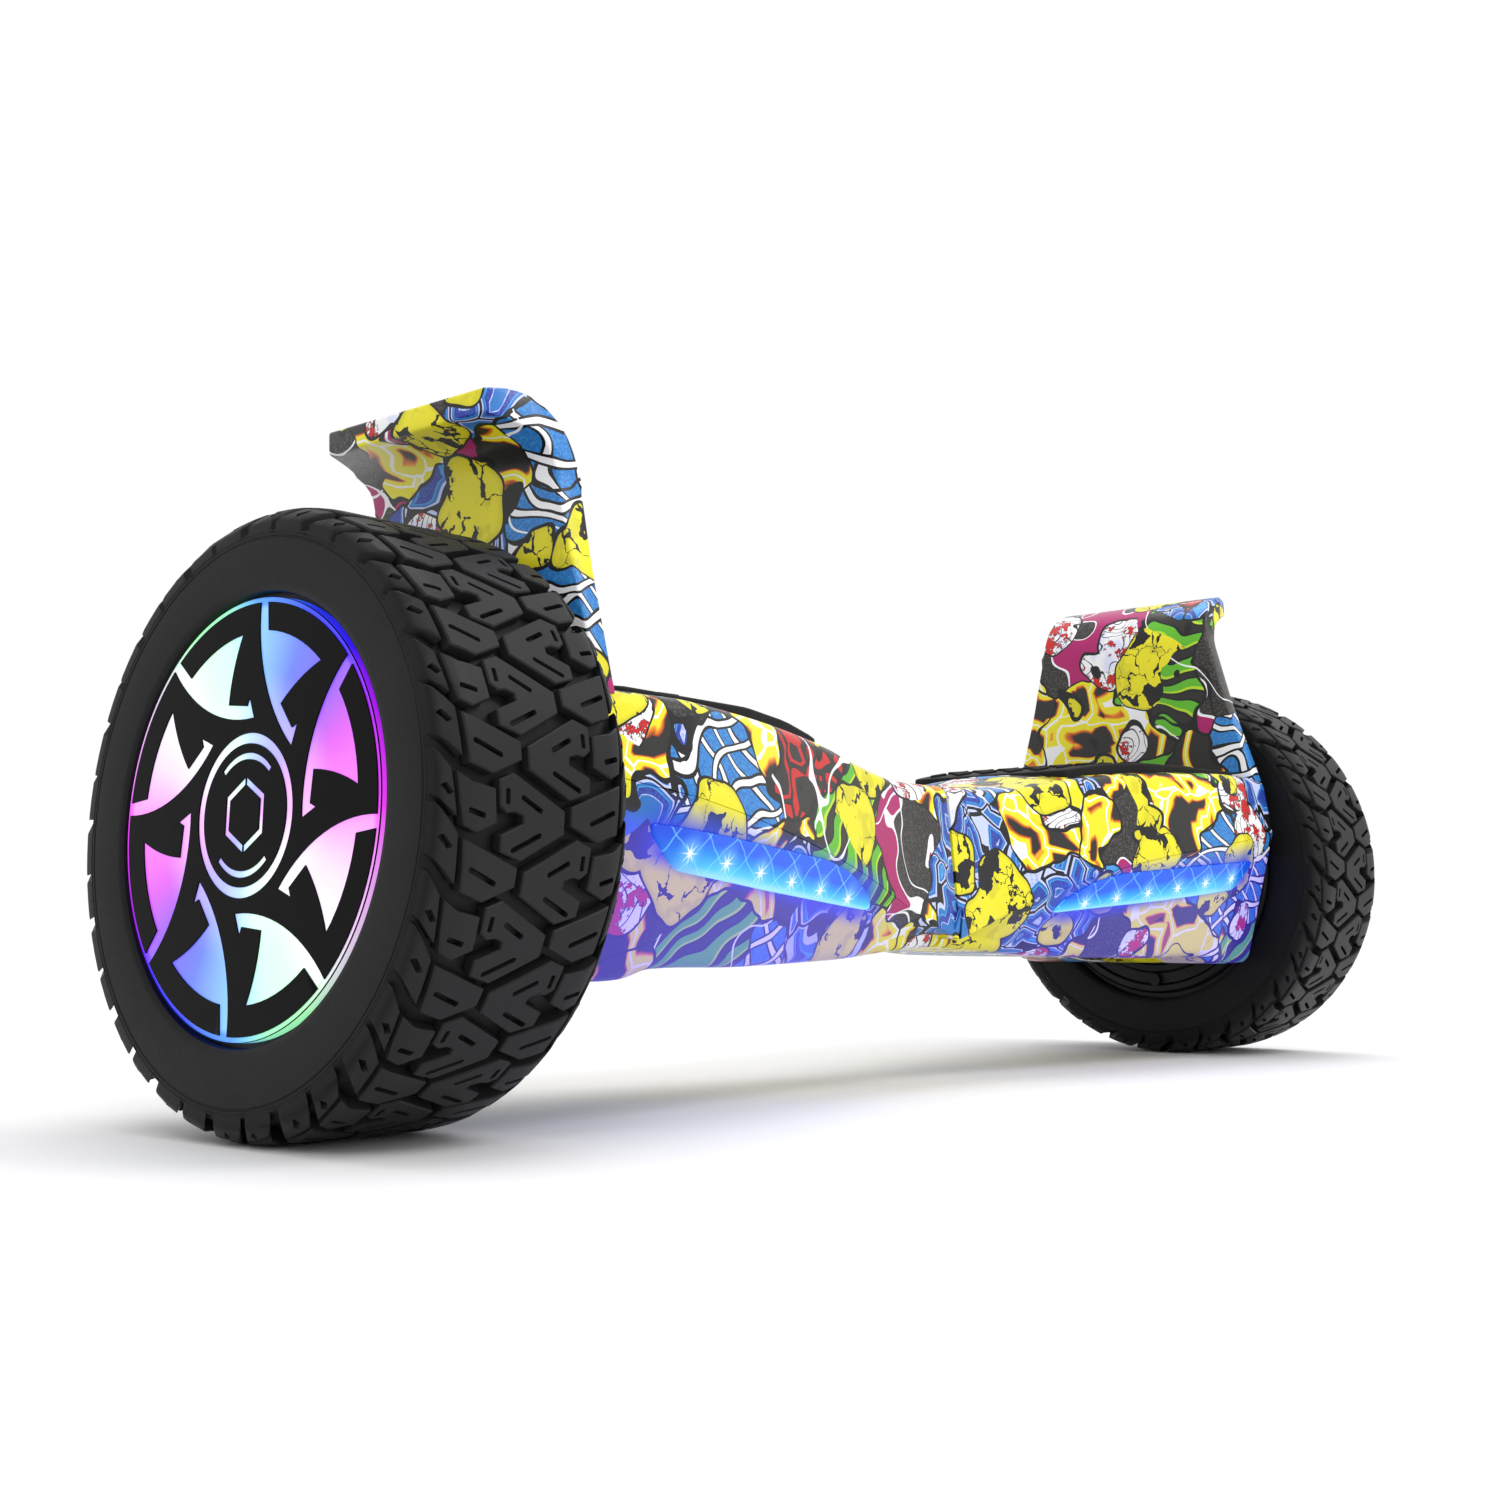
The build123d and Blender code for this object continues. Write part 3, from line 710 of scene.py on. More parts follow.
def lensFinish():
    finish = Finish("lampLens", Roughness=0.2, Specular_IOR_Level=0.25, Coat_Weight=0.12,
                    Coat_Roughness=0.05)
    x, _, z = finish.axes(finish.spot())
    across, height = abs(x) * 1000, z * 1000
    share = (height - lampLine("glassBottom", across)) / lampLine("glassDepth", across)
    colour = finish.ramp(share, [(0.0, (0.36, 0.78, 0.98)), (0.28, (0.06, 0.54, 0.97)),
                                 (0.64, (0.006, 0.29, 0.93)), (1.0, (0.005, 0.10, 0.78))])
    ends = across.ease(196, 238)
    colour = finish.mix(ends * 0.8, colour, (0.008, 0.05, 0.66))
    for lean in (1.0, -1.3):
        ray = ((across + height * lean) / 17.0 + finish.noise(finish.spot(), 60.0) * 0.5).part()
        colour = finish.mix(ray.near(0.5, 0.03) * 0.35, colour, (0.25, 0.85, 1.0))
    # stars over the six lamps
    step = (across - lamp["firstLed"]) / lamp["ledPitch"]
    nearest = step.rounded().most(0.0).least(5.0)
    dx = (step - nearest) * lamp["ledPitch"]
    dz = height - (lamp["ledHeight"] + nearest * lamp["ledPitch"] * lamp["ledRise"])
    away = (dx * dx + dz * dz).root()
    star = (1.0 - away.ease(0.2, 2.2))
    for a, b in ((dx, dz), (dx * 0.7 + dz * 0.7, dx * 0.7 - dz * 0.7)):
        for thin, long in ((a, b), (b, a)):
            star = star.most((1.0 - abs(thin).ease(0.0, 0.42)) * (1.0 - abs(long).ease(0.5, 5.6)))
    halo = 1.0 - away.ease(0.0, 9.0)
    colour = finish.mix(halo * 0.45, colour, (0.22, 0.72, 1.0))
    colour = finish.mix(star, colour, (1.0, 1.0, 1.0))
    finish.link("Base Color", finish.mix(0.85, colour, (0.002, 0.01, 0.05)))
    finish.link("Emission Color", colour)
    finish.link("Emission Strength", 0.95)
    return finish.material


def hubLightFinish():
    finish = Finish("hubLamp", Roughness=0.3)
    y, up, radius = onWheel(finish)
    angle = finish.add("ShaderNodeMath", {"operation": "ARCTAN2"}, {0: 0.0 - y, 1: up})
    turn = (angle / math.pi + 1.0).part()
    stops = [(0.0, (0.22, 0.52, 0.96)), (0.139, (0.10, 0.16, 0.87)), (0.25, (0.16, 0.08, 0.91)),
             (0.361, (0.58, 0.08, 0.87)), (0.5, (0.87, 0.19, 0.91)), (0.611, (0.87, 0.58, 0.91)),
             (0.75, (0.79, 0.83, 0.83)), (0.833, (0.58, 0.96, 0.65)), (0.917, (0.52, 0.91, 0.68)),
             (1.0, (0.22, 0.52, 0.96))]
    colour = finish.ramp(turn, stops)
    ringStops = [(p, tuple(v ** 1.9 for v in shade)) for p, shade in stops]
    ringColour = finish.ramp(turn, ringStops)
    colour = finish.mix(radius.ease(70.5, 73.0), colour, ringColour)
    pale = finish.mix(0.35, colour, (0.85, 0.85, 1.0))
    colour = finish.mix(1.0 - radius.ease(30, 52), colour, pale)
    finish.link("Base Color", finish.mix(0.6, colour, (0.02, 0.02, 0.02)))
    finish.link("Emission Color", colour)
    finish.link("Emission Strength", 0.92)
    return finish.material


def rubberFinish(name, base, grainScale, roughLow, paintedTopLight=None):
    # paintedTopLight is a lighter colour painted on top of a tyre's tread blocks as painted light, which
    # leaves the grooves darker as painted shade
    finish = Finish(name, Specular_IOR_Level=0.12)
    grain = finish.noise(finish.spot(), grainScale, 3.0)
    broad = finish.noise(finish.spot(), 35.0, 2.0)
    dust = tuple(v * 1.5 for v in base)
    colour = finish.mix(broad.ease(0.4, 0.7) * 0.5, base, dust)
    if paintedTopLight:
        radius = onWheel(finish)[2]
        # painted light: the tread tops are lighter than the grooves and block sides below them
        colour = finish.mix(radius.ease(102.0, 104.5) * (0.8 + grain * 0.4), colour, paintedTopLight)
    finish.link("Base Color", colour)
    finish.link("Roughness", grain * 0.16 + roughLow)
    finish.bump(grain, 0.00008, 0.6)
    return finish.material


def plainFinish(name, base, metal, rough, grainScale, depth=0.00004, streak=False, shine=0.4):
    # metals and mouldings: broken tone, fine grain, and brushing where it is streaked
    finish = Finish(name, Metallic=metal, Specular_IOR_Level=shine)
    spot = finish.spot()
    if streak:
        spot = finish.vector("MULTIPLY", spot, (0.04, 1.0, 1.0))
    grain = finish.noise(spot, grainScale, 4.0)
    broad = finish.noise(finish.spot(), 40.0, 2.0)
    darker = tuple(v * 0.75 for v in base)
    finish.link("Base Color", finish.mix(broad.ease(0.35, 0.7), base, darker))
    finish.link("Roughness", grain * 0.18 + (rough - 0.09))
    finish.bump(grain, depth, 0.5)
    return finish.material


def boardFinish():
    finish = Finish("circuitBoard", Roughness=0.4)
    spot = finish.spot()
    flat = finish.vector("MULTIPLY", spot, (1.0, 1.0, 0.02))
    cell = finish.cells(flat, 260.0, "DISTANCE_TO_EDGE", 0, 0.35)
    colour = finish.mix(cell < 0.06, (0.015, 0.16, 0.07), (0.05, 0.30, 0.12))
    finish.link("Base Color", colour)
    finish.bump(cell.ease(0.0, 0.1), 0.00005, 0.5)
    return finish.material


finishes = {
    "leftCasing": printFinish("leftUpperPrint", (0.18, 0.42, 0.66), True),
    "rightCasing": printFinish("rightUpperPrint", (0.37, 0.11, 0.05), True, 0.7),
    "leftFender": printFinish("leftFenderPrint", (0.71, 0.33, 0.12), False),
    "rightFender": printFinish("rightFenderPrint", (0.93, 0.57, 0.31), False),
    "lens": lensFinish(),
    "hubLamp": hubLightFinish(),
    "tyre": rubberFinish("tyreRubber", (0.006, 0.006, 0.0064), 700.0, 0.36, (0.017, 0.017, 0.018)),
    "mat": rubberFinish("matRubber", (0.009, 0.009, 0.0095), 900.0, 0.5),
    "cable": rubberFinish("cableSheath", (0.012, 0.012, 0.012), 500.0, 0.45),
    "glossBlack": plainFinish("glossBlack", (0.002, 0.002, 0.0022), 0.0, 0.34, 300.0, 0.00001, False, 0.05),
    "blackMoulding": plainFinish("blackMoulding", (0.012, 0.012, 0.0125), 0.0, 0.5, 600.0, 0.00004, False,
                                 0.2),
    "blackMetal": plainFinish("blackMetal", (0.022, 0.022, 0.024), 0.9, 0.42, 500.0),
    "steel": plainFinish("turnedSteel", (0.60, 0.60, 0.62), 1.0, 0.32, 900.0, 0.00003, True),
    "aluminium": plainFinish("castAluminium", (0.68, 0.69, 0.70), 1.0, 0.42, 450.0, 0.00006),
    "core": plainFinish("motorCore", (0.42, 0.16, 0.07), 0.8, 0.4, 300.0),
    "chassis": plainFinish("chassisPaint", (0.03, 0.03, 0.033), 0.0, 0.42, 350.0, 0.00008),
    "brass": plainFinish("bushBrass", (0.72, 0.52, 0.20), 1.0, 0.3, 700.0, 0.00003, True),
    "board": boardFinish(),
    "wrap": plainFinish("batteryWrap", (0.02, 0.12, 0.45), 0.0, 0.32, 250.0),
    "button": plainFinish("redButton", (0.55, 0.02, 0.015), 0.0, 0.3, 400.0),
    "smoked": plainFinish("smokedWindow", (0.02, 0.025, 0.05), 0.0, 0.15, 300.0, 0.00001),
}
print("finishes made:", len(finishes))


# tyres
treadBlocks = {
    # outlines over one pitch: distance across the tyre, distance round it
    "centre": [(-20.2, 2.3), (-13.9, 0), (7.6, 11.1), (7.6, 18.6), (-9.75, 27.6), (-18.5, 25.0),
               (-18.9, 19.7), (-9.9, 15.8), (-10.2, 13.4), (-13.5, 12.3), (-16.8, 12.8), (-19.8, 10.7)],
    "upper": [(-35.6, 0.4), (-30.6, 3.6), (-21.6, 5.3), (-20.8, 16.1), (-28.5, 19.4), (-33.1, 17.3),
              (-34.6, 10.3)],
    "lower": [(-33.0, 21.2), (-10.4, 29.6), (-10.4, 35.7), (-22.5, 40.7), (-31.5, 37.75)],
    "edgeHigh": [(-41, -7.6), (-37.0, -0.6), (-35.4, 14.4), (-41, 7.4)],
    "edgeLow": [(-41, 10.2), (-34.6, 19.8), (-33.7, 35.4), (-41, 27.0)],
    # slots: centre across and round, length, turn in degrees
    "slots": [(-16.8, 7.5, 4.6, 90), (-6.8, 9.6, 9.2, 27), (-8.3, 21.7, 12.4, -25), (-28.9, 13.2, 6.2, 15),
              (-24.3, 32.6, 11.4, 22), (-38.3, 6.0, 3.6, 60), (-38.0, 22.4, 4.4, 56)],
    "slotWidth": 1.8,
    "slotDepth": 2.6,
    "pitches": 17,
    "depth": 5.0,
    "edgeRound": 0.45,
    # where the blocks are divided so that they bend round the tyre: first, spacing, count, and across
    "bends": (-6, 6.1, 9),
    "bendsAcross": (-28, -32.5, -37),
}
treadTop = [(0, 108), (28, 108), (32, 107.6), (35.5, 106.4), (39.3, 104), (41, 101.6)]
carcassTop = [(0, 103.4), (29, 103.2), (36.5, 101.4), (40.1, 99.2), (41, 98.2)]
treadFoot = 1.0
blockSide = 40.85


def onLine(points, value):
    for (a, ra), (b, rb) in zip(points, points[1:]):
        if value <= b:
            return ra + (rb - ra) * (value - a) / (b - a)
    return points[-1][1]


def flatBlock(outline, low, high, rounding):
    # a tread block or slot in flat millimetres: across, along, height
    bpy.ops.mesh.primitive_circle_add(vertices=len(outline), radius=1, fill_type="NGON")
    obj = bpy.context.object
    for vertex, (across, along) in zip(obj.data.vertices, outline):
        vertex.co = (across, along, low)
    editMode()
    bpy.ops.mesh.select_all(action="SELECT")
    bpy.ops.mesh.extrude_region_move(TRANSFORM_OT_translate={"value": (0, 0, high - low)})
    bpy.ops.mesh.select_all(action="SELECT")
    bpy.ops.mesh.normals_make_consistent(inside=False)
    objectMode()
    if rounding:
        vertices = obj.data.vertices
        pick(obj, "EDGE", lambda e: all(vertices[v].co.z > high - 0.001 for v in e.vertices))
        bpy.ops.mesh.bevel(offset=rounding, segments=1, affect="EDGES")
        objectMode()
    return obj


def slotOutline(across, along, length, degrees):
    turn = math.radians(degrees)
    ahead = Vector((math.cos(turn), math.sin(turn))) * length / 2
    side = Vector((-math.sin(turn), math.cos(turn))) * treadBlocks["slotWidth"] / 2
    middle = Vector((across, along))
    corners = [(-1, -1), (1, -1), (1.1, 0), (1, 1), (-1, 1), (-1.1, 0)]
    return [tuple(middle + a * ahead + b * side) for a, b in corners]


def divideMesh(first, spacing, count, axis):
    # cuts right across at even steps along an axis, so that the mesh can bend there
    direction = Vector((1 - axis, axis, 0))
    for i in range(count):
        bpy.ops.mesh.select_all(action="SELECT")
        bpy.ops.mesh.bisect(plane_co=direction * (first + spacing * i), plane_no=direction)


def roundAxle(obj, count):
    # the object and its copies, turned evenly about the axle
    axle = Matrix.Translation((0, 0, wheel["z"] * mm))
    copies = [obj]
    for i in range(1, count):
        turn = Matrix.Rotation(2 * math.pi * i / count, 4, "X")
        copies.append(copyOf(obj, obj.name + "Copy", axle @ turn @ axle.inverted()))
    return copies


def dressPair(obj, leftName, bodyName, slotName, finish, node, *angle):
    # the right side's object and its mirrored twin
    twin = copyOf(obj, leftName, mirrorX)
    for piece, side in ((obj, "right"), (twin, "left")):
        dress(piece, side + "_" + bodyName, slotName, finish, [side + "_" + node], *angle)


def makeTread():
    # one pitch of blocks, cut with their slots, then wrapped on the tyre and repeated round it
    shapes = [treadBlocks[name] for name in ("centre", "upper", "lower", "edgeHigh", "edgeLow")]
    shapes = [[(max(a, -blockSide), b) for a, b in shape] for shape in shapes]
    depth, rounding = treadBlocks["depth"], treadBlocks["edgeRound"]
    pitchSet = joined([flatBlock(shape, -depth, 0, rounding) for shape in shapes], "pitchSet")
    slotDepth = treadBlocks["slotDepth"]
    slots = [flatBlock(slotOutline(*slot), -slotDepth, 1.0, 0) for slot in treadBlocks["slots"]]
    cut(pitchSet, joined(slots, "slots"))
    pitch = 2 * math.pi * wheel["radius"] / treadBlocks["pitches"]
    editMode()
    divideMesh(*treadBlocks["bends"], 1)
    for across in treadBlocks["bendsAcross"]:
        divideMesh(across, 0, 1, 0)
    bpy.ops.mesh.select_all(action="SELECT")
    bpy.ops.mesh.remove_doubles(threshold=0.01)
    bpy.ops.mesh.quads_convert_to_tris()
    objectMode()
    turnedRound = Matrix.Translation((0, pitch / 2, 0)) @ Matrix.Scale(-1, 4, (1, 0, 0))
    pitchSet = joined([pitchSet, copyOf(pitchSet, "otherSide", turnedRound)], "pitchSet")
    for vertex in pitchSet.data.vertices:
        across, along, height = vertex.co
        share = min(-height / depth, 1)
        top, foot = onLine(treadTop, abs(across)), onLine(carcassTop, abs(across)) - treadFoot
        radius = top + (foot - top) * share
        angle = along / wheel["radius"]
        vertex.co = ((wheel["x"] - across) * mm, -radius * math.sin(angle) * mm,
                     (wheel["z"] + radius * math.cos(angle)) * mm)
    return joined(roundAxle(pitchSet, treadBlocks["pitches"]), "tread")


def makeTyre():
    wall = wheel["halfWidth"]
    outer = [(wall - 2.2, 76.9), (wall - 1.0, 77.2), (wall - 0.35, 78.2), (wall, 80), (wall, 95.6),
             (wall - 0.35, 95.9), (wall - 0.35, 96.3), (wall, 96.6), (wall, 97.2), (wall - 0.3, 97.45),
             (wall - 0.3, 97.75), (wall, 98.0)]
    outer += [(a, r) for a, r in reversed(carcassTop[1:])]
    cavity = [(-22, 76.3), (-26, 86), (-20, 95), (20, 95), (26, 86), (22, 76.3)]
    profile = outer + [(-a, r) for a, r in reversed(outer)] + cavity
    carcass = turned("carcass", profile, 180, wheel["x"])
    return joined([carcass, makeTread()], "rightTyre")


rightTyre = makeTyre()
dressPair(rightTyre, "leftTyre", "wheel", "tyre_rubber", finishes["tyre"], "tyre", 28)
print("tyres made, triangles:", sum(len(p.vertices) - 2 for p in rightTyre.data.polygons))


# hub discs and motor covers
hub = {
    "blades": 8,
    "lightRing": (73.1, 74.75),
    "innerRing": (24.3, 27.8),
    "arcRing": (18.9, 21.0),
    "arcSpan": 43,
    "emblem": (10.2, 12.8),
    "back": 39.88,
    "face": 40.5,
}


def polar(radius, degrees):
    # point on the disc: towards the front and up, clockwise from the top
    angle = math.radians(degrees)
    return (-radius * math.sin(angle), radius * math.cos(angle))


def arcThrough(a, b, c, count):
    # points on the arc from a through b to c, ends included
    ax, ay, bx, by, cx, cy = *a, *b, *c
    d = 2 * (ax * (by - cy) + bx * (cy - ay) + cx * (ay - by))
    squares = (ax * ax + ay * ay, bx * bx + by * by, cx * cx + cy * cy)
    ox = (squares[0] * (by - cy) + squares[1] * (cy - ay) + squares[2] * (ay - by)) / d
    oy = (squares[0] * (cx - bx) + squares[1] * (ax - cx) + squares[2] * (bx - ax)) / d
    radius = math.dist(a, (ox, oy))
    start, middle, end = (math.atan2(y - oy, x - ox) for x, y in (a, b, c))
    sweep = (end - start) % (2 * math.pi)
    if (middle - start) % (2 * math.pi) > sweep:
        sweep -= 2 * math.pi
    angles = [start + sweep * i / count for i in range(count + 1)]
    return [(ox + radius * math.cos(angle), oy + radius * math.sin(angle)) for angle in angles]


def bladeOutline():
    # a stem off the rim, a wide field and a barbed tip
    stem = [polar(74, 2.1), polar(74, 5.4)]
    rim = arcThrough(polar(63.2, 7.4), polar(63.2, 23), polar(63.0, 38.5), 8)
    back = arcThrough(polar(63.0, 38.5), polar(49.5, 30.8), polar(40.6, 25.7), 8)[1:]
    barb = [polar(37.3, 41.6), polar(40.3, 43.6)]
    edge = arcThrough(polar(33.1, 49.0), polar(43.5, 11.7), polar(73.4, 2.1), 14)[:-1]
    return stem + rim + back + barb + edge


def onDisc(a, b, out):
    return Vector((wheel["x"] + out, a, wheel["z"] + b))


def ringPiece(name, radii, low, high, steps=128):
    inner, outer = radii
    return turned(name, [(low, inner), (high, inner), (high, outer), (low, outer)], steps, wheel["x"])


def cutBand(obj, radii, span):
    # an opening through the disc between two radii
    inner, outer = radii
    band = [polar(outer, d) for d in span] + [polar(inner, d) for d in reversed(span)]
    cut(obj, plate("band", band, hub["back"] - 2, hub["face"] + 2, onDisc))


def makeHubMask():
    field = ringPiece("field", (hub["innerRing"][1], hub["lightRing"][0]), hub["back"], hub["face"])
    blade = plate("blade", bladeOutline(), hub["back"] - 2, hub["face"] + 2, onDisc)
    cut(field, joined(roundAxle(blade, hub["blades"]), "blades"))
    rim = ringPiece("rimEdge", (hub["lightRing"][1], wheel["discRadius"]), hub["back"], hub["face"])
    boss = plate("boss", [polar(hub["innerRing"][0], 360 * i / 96) for i in range(96)],
                 hub["back"], hub["face"], onDisc)
    for middle in (0, 180):
        cutBand(boss, hub["arcRing"], [middle + hub["arcSpan"] * (i / 8 - 1) for i in range(17)])
    for start in (0, 180):
        cutBand(boss, hub["emblem"], [start + d for d in (0, 60, 120, 178)])
    whole = joined([field, rim, boss], "rightHubMask")
    bevelEdges(whole, 0.12, 1, 50)
    return whole


cover = {
    "face": -39.95,
    "ribs": 12,
    "ribFrom": 26,
    "ribTo": 58.4,
    "ribSpread": 1.3,
}


def makeMotorCover():
    # inner face of the wheel: stepped rings and radial ribs round the axle
    face = cover["face"]
    profile = [(-36, 74.4), (face + 2.4, 74.4), (face + 1.0, 73.0), (face + 0.9, 70), (face + 2.4, 68.6),
               (face + 2.4, 63.0), (face + 0.6, 61.6), (face + 0.6, 58.6), (face + 1.9, 57.4),
               (face + 1.9, 27), (face, 25.4), (face, 18), (face + 0.8, 17.2), (face + 0.8, 9.2), (-31, 9.2),
               (-31, 16), (-22, 16), (-22, 22), (-36, 22)]
    disc = turned("coverDisc", profile, 128, wheel["x"])
    ribs = []
    for i in range(cover["ribs"]):
        angle = 360 * (i + 0.5) / cover["ribs"]
        spread, start, end = cover["ribSpread"], cover["ribFrom"], cover["ribTo"]
        outline = [polar(start, angle - spread * 2.2), polar(start, angle + spread * 2.2),
                   polar(end, angle + spread), polar(end, angle - spread)]
        rib = plate("rib", outline, face + 0.5, face + 3, onDisc)
        bevelEdges(rib, 0.5, 2, 50)
        ribs.append(rib)
    return joined([disc] + ribs, "rightMotorCover")


rightMask = makeHubMask()
rightCover = makeMotorCover()
dressPair(rightMask, "leftHubMask", "wheel", "gloss_black", finishes["glossBlack"], "hub_mask")
dressPair(rightCover, "leftMotorCover", "wheel", "black_aluminium", finishes["blackMetal"], "motor_cover")
print("hub discs and motor covers made")


# casings
def closeEnd(obj, x):
    pick(obj, "VERT", lambda v: abs(v.co.x - x * mm) < 0.01 * mm)
    bpy.ops.mesh.edge_face_add()
    objectMode()


def makeCasing(name, side, across):
    first, last = body["station"][0], body["station"][-1]

    def position(along, around):
        x = first + (last - first) * along
        return (x, *aroundSection(side, x, around))

    obj = mesh(name, body["steps"], across, position)
    closeEnd(obj, first)
    closeEnd(obj, last)
    tidyMesh(obj)
    if side is lowerSide:
        turnOut(obj, lambda f: f.center.z < 0.06 and abs(f.normal.z) > 0.9, -1)
    else:
        turnOut(obj, lambda f: f.center.z > 0.13 and abs(f.normal.z) > 0.9, 1)
    addModifier(obj, "SOLIDIFY", thickness=body["wall"] * mm, offset=-1, use_even_offset=True)
    return obj


def turnOut(obj, test, sign):
    # an open surface can't tell its outside, so one known face decides
    known = [f.normal.z for f in obj.data.polygons if test(f)]
    if sum(known) * sign < 0:
        obj.data.flip_normals()


def roundedOutline(points, radius, count=5):
    # a closed outline with its corners bent to curves
    rounded = []
    for i, corner in enumerate(points):
        here, ends = Vector(corner), []
        for other in (Vector(points[i - 1]), Vector(points[(i + 1) % len(points)])):
            away = other - here
            ends.append(here + away.normalized() * min(radius, away.length * 0.48))
        rounded += [bentCorner(ends[0], corner, ends[1], t / count) for t in range(count + 1)]
    return rounded


def lensPoints(grow):
    # outline of the lamp window, moved outwards by grow
    points = roundedOutline(lamp["outline"], lamp["corner"])
    moved = []
    for i, (x, z) in enumerate(points):
        before, after = points[i - 1], points[(i + 1) % len(points)]
        along = Vector((after[0] - before[0], after[1] - before[1])).normalized()
        moved.append((x + grow * along.y, z - grow * along.x))
    return moved


def standing(a, b, depth):
    return Vector((a, depth, b))


def lying(a, b, height):
    return Vector((a, b, height))


def crossing(a, b, along):
    return Vector((along, a, b))


def rod(name, spot, along, radius, low, high, sides=40):
    # a round cutter or pad from low to high along a direction
    turn = Vector(along).to_track_quat("Z", "Y").to_matrix().to_4x4()
    bpy.ops.mesh.primitive_cylinder_add(vertices=sides, radius=radius * mm, depth=(high - low) * mm)
    obj = bpy.context.object
    obj.name = name
    obj.data.transform(Matrix.Translation((0, 0, (high + low) / 2 * mm)))
    obj.data.transform(Matrix.Translation(Vector(spot) * mm) @ turn)
    return obj


openings = {
    "axleRadius": 12,
    "tubeGap": 0.8,
    "screws": [(24, 29), (92, 39), (244, 54), (80, 20), (215, 24)],
    "screwRadius": 3.8,
    "screwDepth": 1.05,
}
fitting = {
    # place along the board and radius of the hole
    "switch": (160.0, 9.7),
    "socket": (120.0, 9.2),
    "share": 0.46,
    "padRadius": 14.4,
    "stand": 0.8,
}


def straightAt(name, x):
    # the same size by straight runs, as the fittings were placed
    xs, ys = body["station"], body[name]
    i = max(k for k in range(len(xs) - 1) if xs[k] <= x)
    return ys[i] + (ys[i + 1] - ys[i]) * (x - xs[i]) / (xs[i + 1] - xs[i])


def rearPoint(x, share):
    base = Vector((x, straightAt("baseDepth", x), straightAt("baseHeight", x)))
    crest = Vector((x, straightAt("crestDepth", x), straightAt("crestHeight", x)))
    return base + (crest - base) * share


def rearSpot(x):
    # middle of a fitting on the rear lower face, and the way it points
    along = rearPoint(x - 10, fitting["share"]) - rearPoint(x + 10, fitting["share"])
    up = rearPoint(x, 1) - rearPoint(x, 0)
    normal = along.cross(up).normalized()
    return rearPoint(x, fitting["share"]) + normal * fitting["stand"], normal


mat = {
    "start": place("right_foot_mat", 0).x,
    "end": place("right_foot_mat", 1).x,
    "top": place("right_foot_mat", 1).z,
    "waist": 160,
    "margin": 9.0,
    "corner": 8.0,
    "gap": 0.7,
    "pocket": (130, 175),
    "bottom": 149.5,
    "rib": 1.3,
    # the casing's floors under the mat: where they meet, bottom, top
    "floor": (140, 143.9, 146.9),
    "ramp": (142, 138.2, 141.2),
}


def matOutline(grow, start, end):
    # plan of the mat, wider towards the wheel, corners rounded
    corners = []
    for x in (start - grow, mat["waist"], end + grow):
        corners.append((x, -(straightAt("topDepth", x) - mat["margin"] + grow)))
    radius = mat["corner"] + grow
    inset = 0.29 * radius
    (x0, y0), middle, (x1, y1) = corners
    front = [(x0, y0 + radius), (x0 + inset, y0 + inset - 1), (x0 + radius, y0 - 0.0875 * radius), middle,
             (x1 - radius, y1 + 0.2), (x1 - inset, y1 + inset), (x1, y1 + radius)]
    return front + [(x, -y) for x, y in reversed(front)]


def keepOffMiddle(obj, sign):
    # the two halves' end walls stay apart, so that they can twist
    for vertex in obj.data.vertices:
        vertex.co.x = sign * max(sign * vertex.co.x, body["station"][0] * mm)


def makeUpperCasing():
    obj = makeCasing("rightUpperCasing", upperSide, 42)
    outline = matOutline(mat["gap"], mat["start"], mat["end"])
    cut(obj, plate("pocket", outline, *mat["pocket"], lying))
    tubeLow, tubeHigh = place("pivot_tube", 0).z, place("pivot_tube", 1).z
    radius = (tubeHigh - tubeLow) / 2 + openings["tubeGap"]
    cut(obj, rod("tubeHole", (1, 0, (tubeHigh + tubeLow) / 2), (1, 0, 0), radius, -4, 8))
    bevelEdges(obj, 0.6, 2, 40)
    start, low, high = mat["floor"]
    floorPlate = plate("matFloor", matOutline(2.0, start, mat["end"] - 1), low, high, lying)
    end, low, high = mat["ramp"]
    rampPlate = plate("matRamp", matOutline(2.0, mat["start"] + 1, end), low, high, lying)
    return joined([obj, floorPlate, rampPlate], "rightUpperCasing")


def makeLowerCasing():
    obj = makeCasing("rightLowerCasing", lowerSide, 38)
    cut(obj, plate("window", lensPoints(0.2), -120, -20, standing))
    radius, end = openings["axleRadius"], body["station"][-1]
    cut(obj, rod("axleHole", (end, 0, wheel["z"]), (1, 0, 0), radius, -10, 5))
    slot = [(-radius, wheel["z"]), (radius, wheel["z"]), (radius, 140), (-radius, 140)]
    cut(obj, plate("axleSlot", slot, end - 10, end + 5, crossing))
    depth = openings["screwDepth"]
    recesses = [rod("recess", (x, sign * y, 0), (0, 0, 1), openings["screwRadius"], 40,
                    straightAt("baseHeight", x) + depth, 24)
                for x, y in openings["screws"] for sign in (-1, 1)]
    cut(obj, joined(recesses, "recesses"))
    bevelEdges(obj, 0.5, 2, 40)
    return obj


def addRearFittings(obj):
    pads = []
    for x, radius in (fitting["switch"], fitting["socket"]):
        spot, normal = rearSpot(x)
        spot, normal = Vector((-spot.x, spot.y, spot.z)), Vector((-normal.x, normal.y, normal.z))
        cut(obj, rod("hole", spot, normal, radius, -20, 10))
        pad = rod("pad", spot, normal, fitting["padRadius"], -2.4, 0)
        cut(pad, rod("padHole", spot, normal, radius, -10, 10))
        bevelEdges(pad, 0.4, 2, 50)
        pads.append(pad)
    return joined([obj] + pads, obj.name)


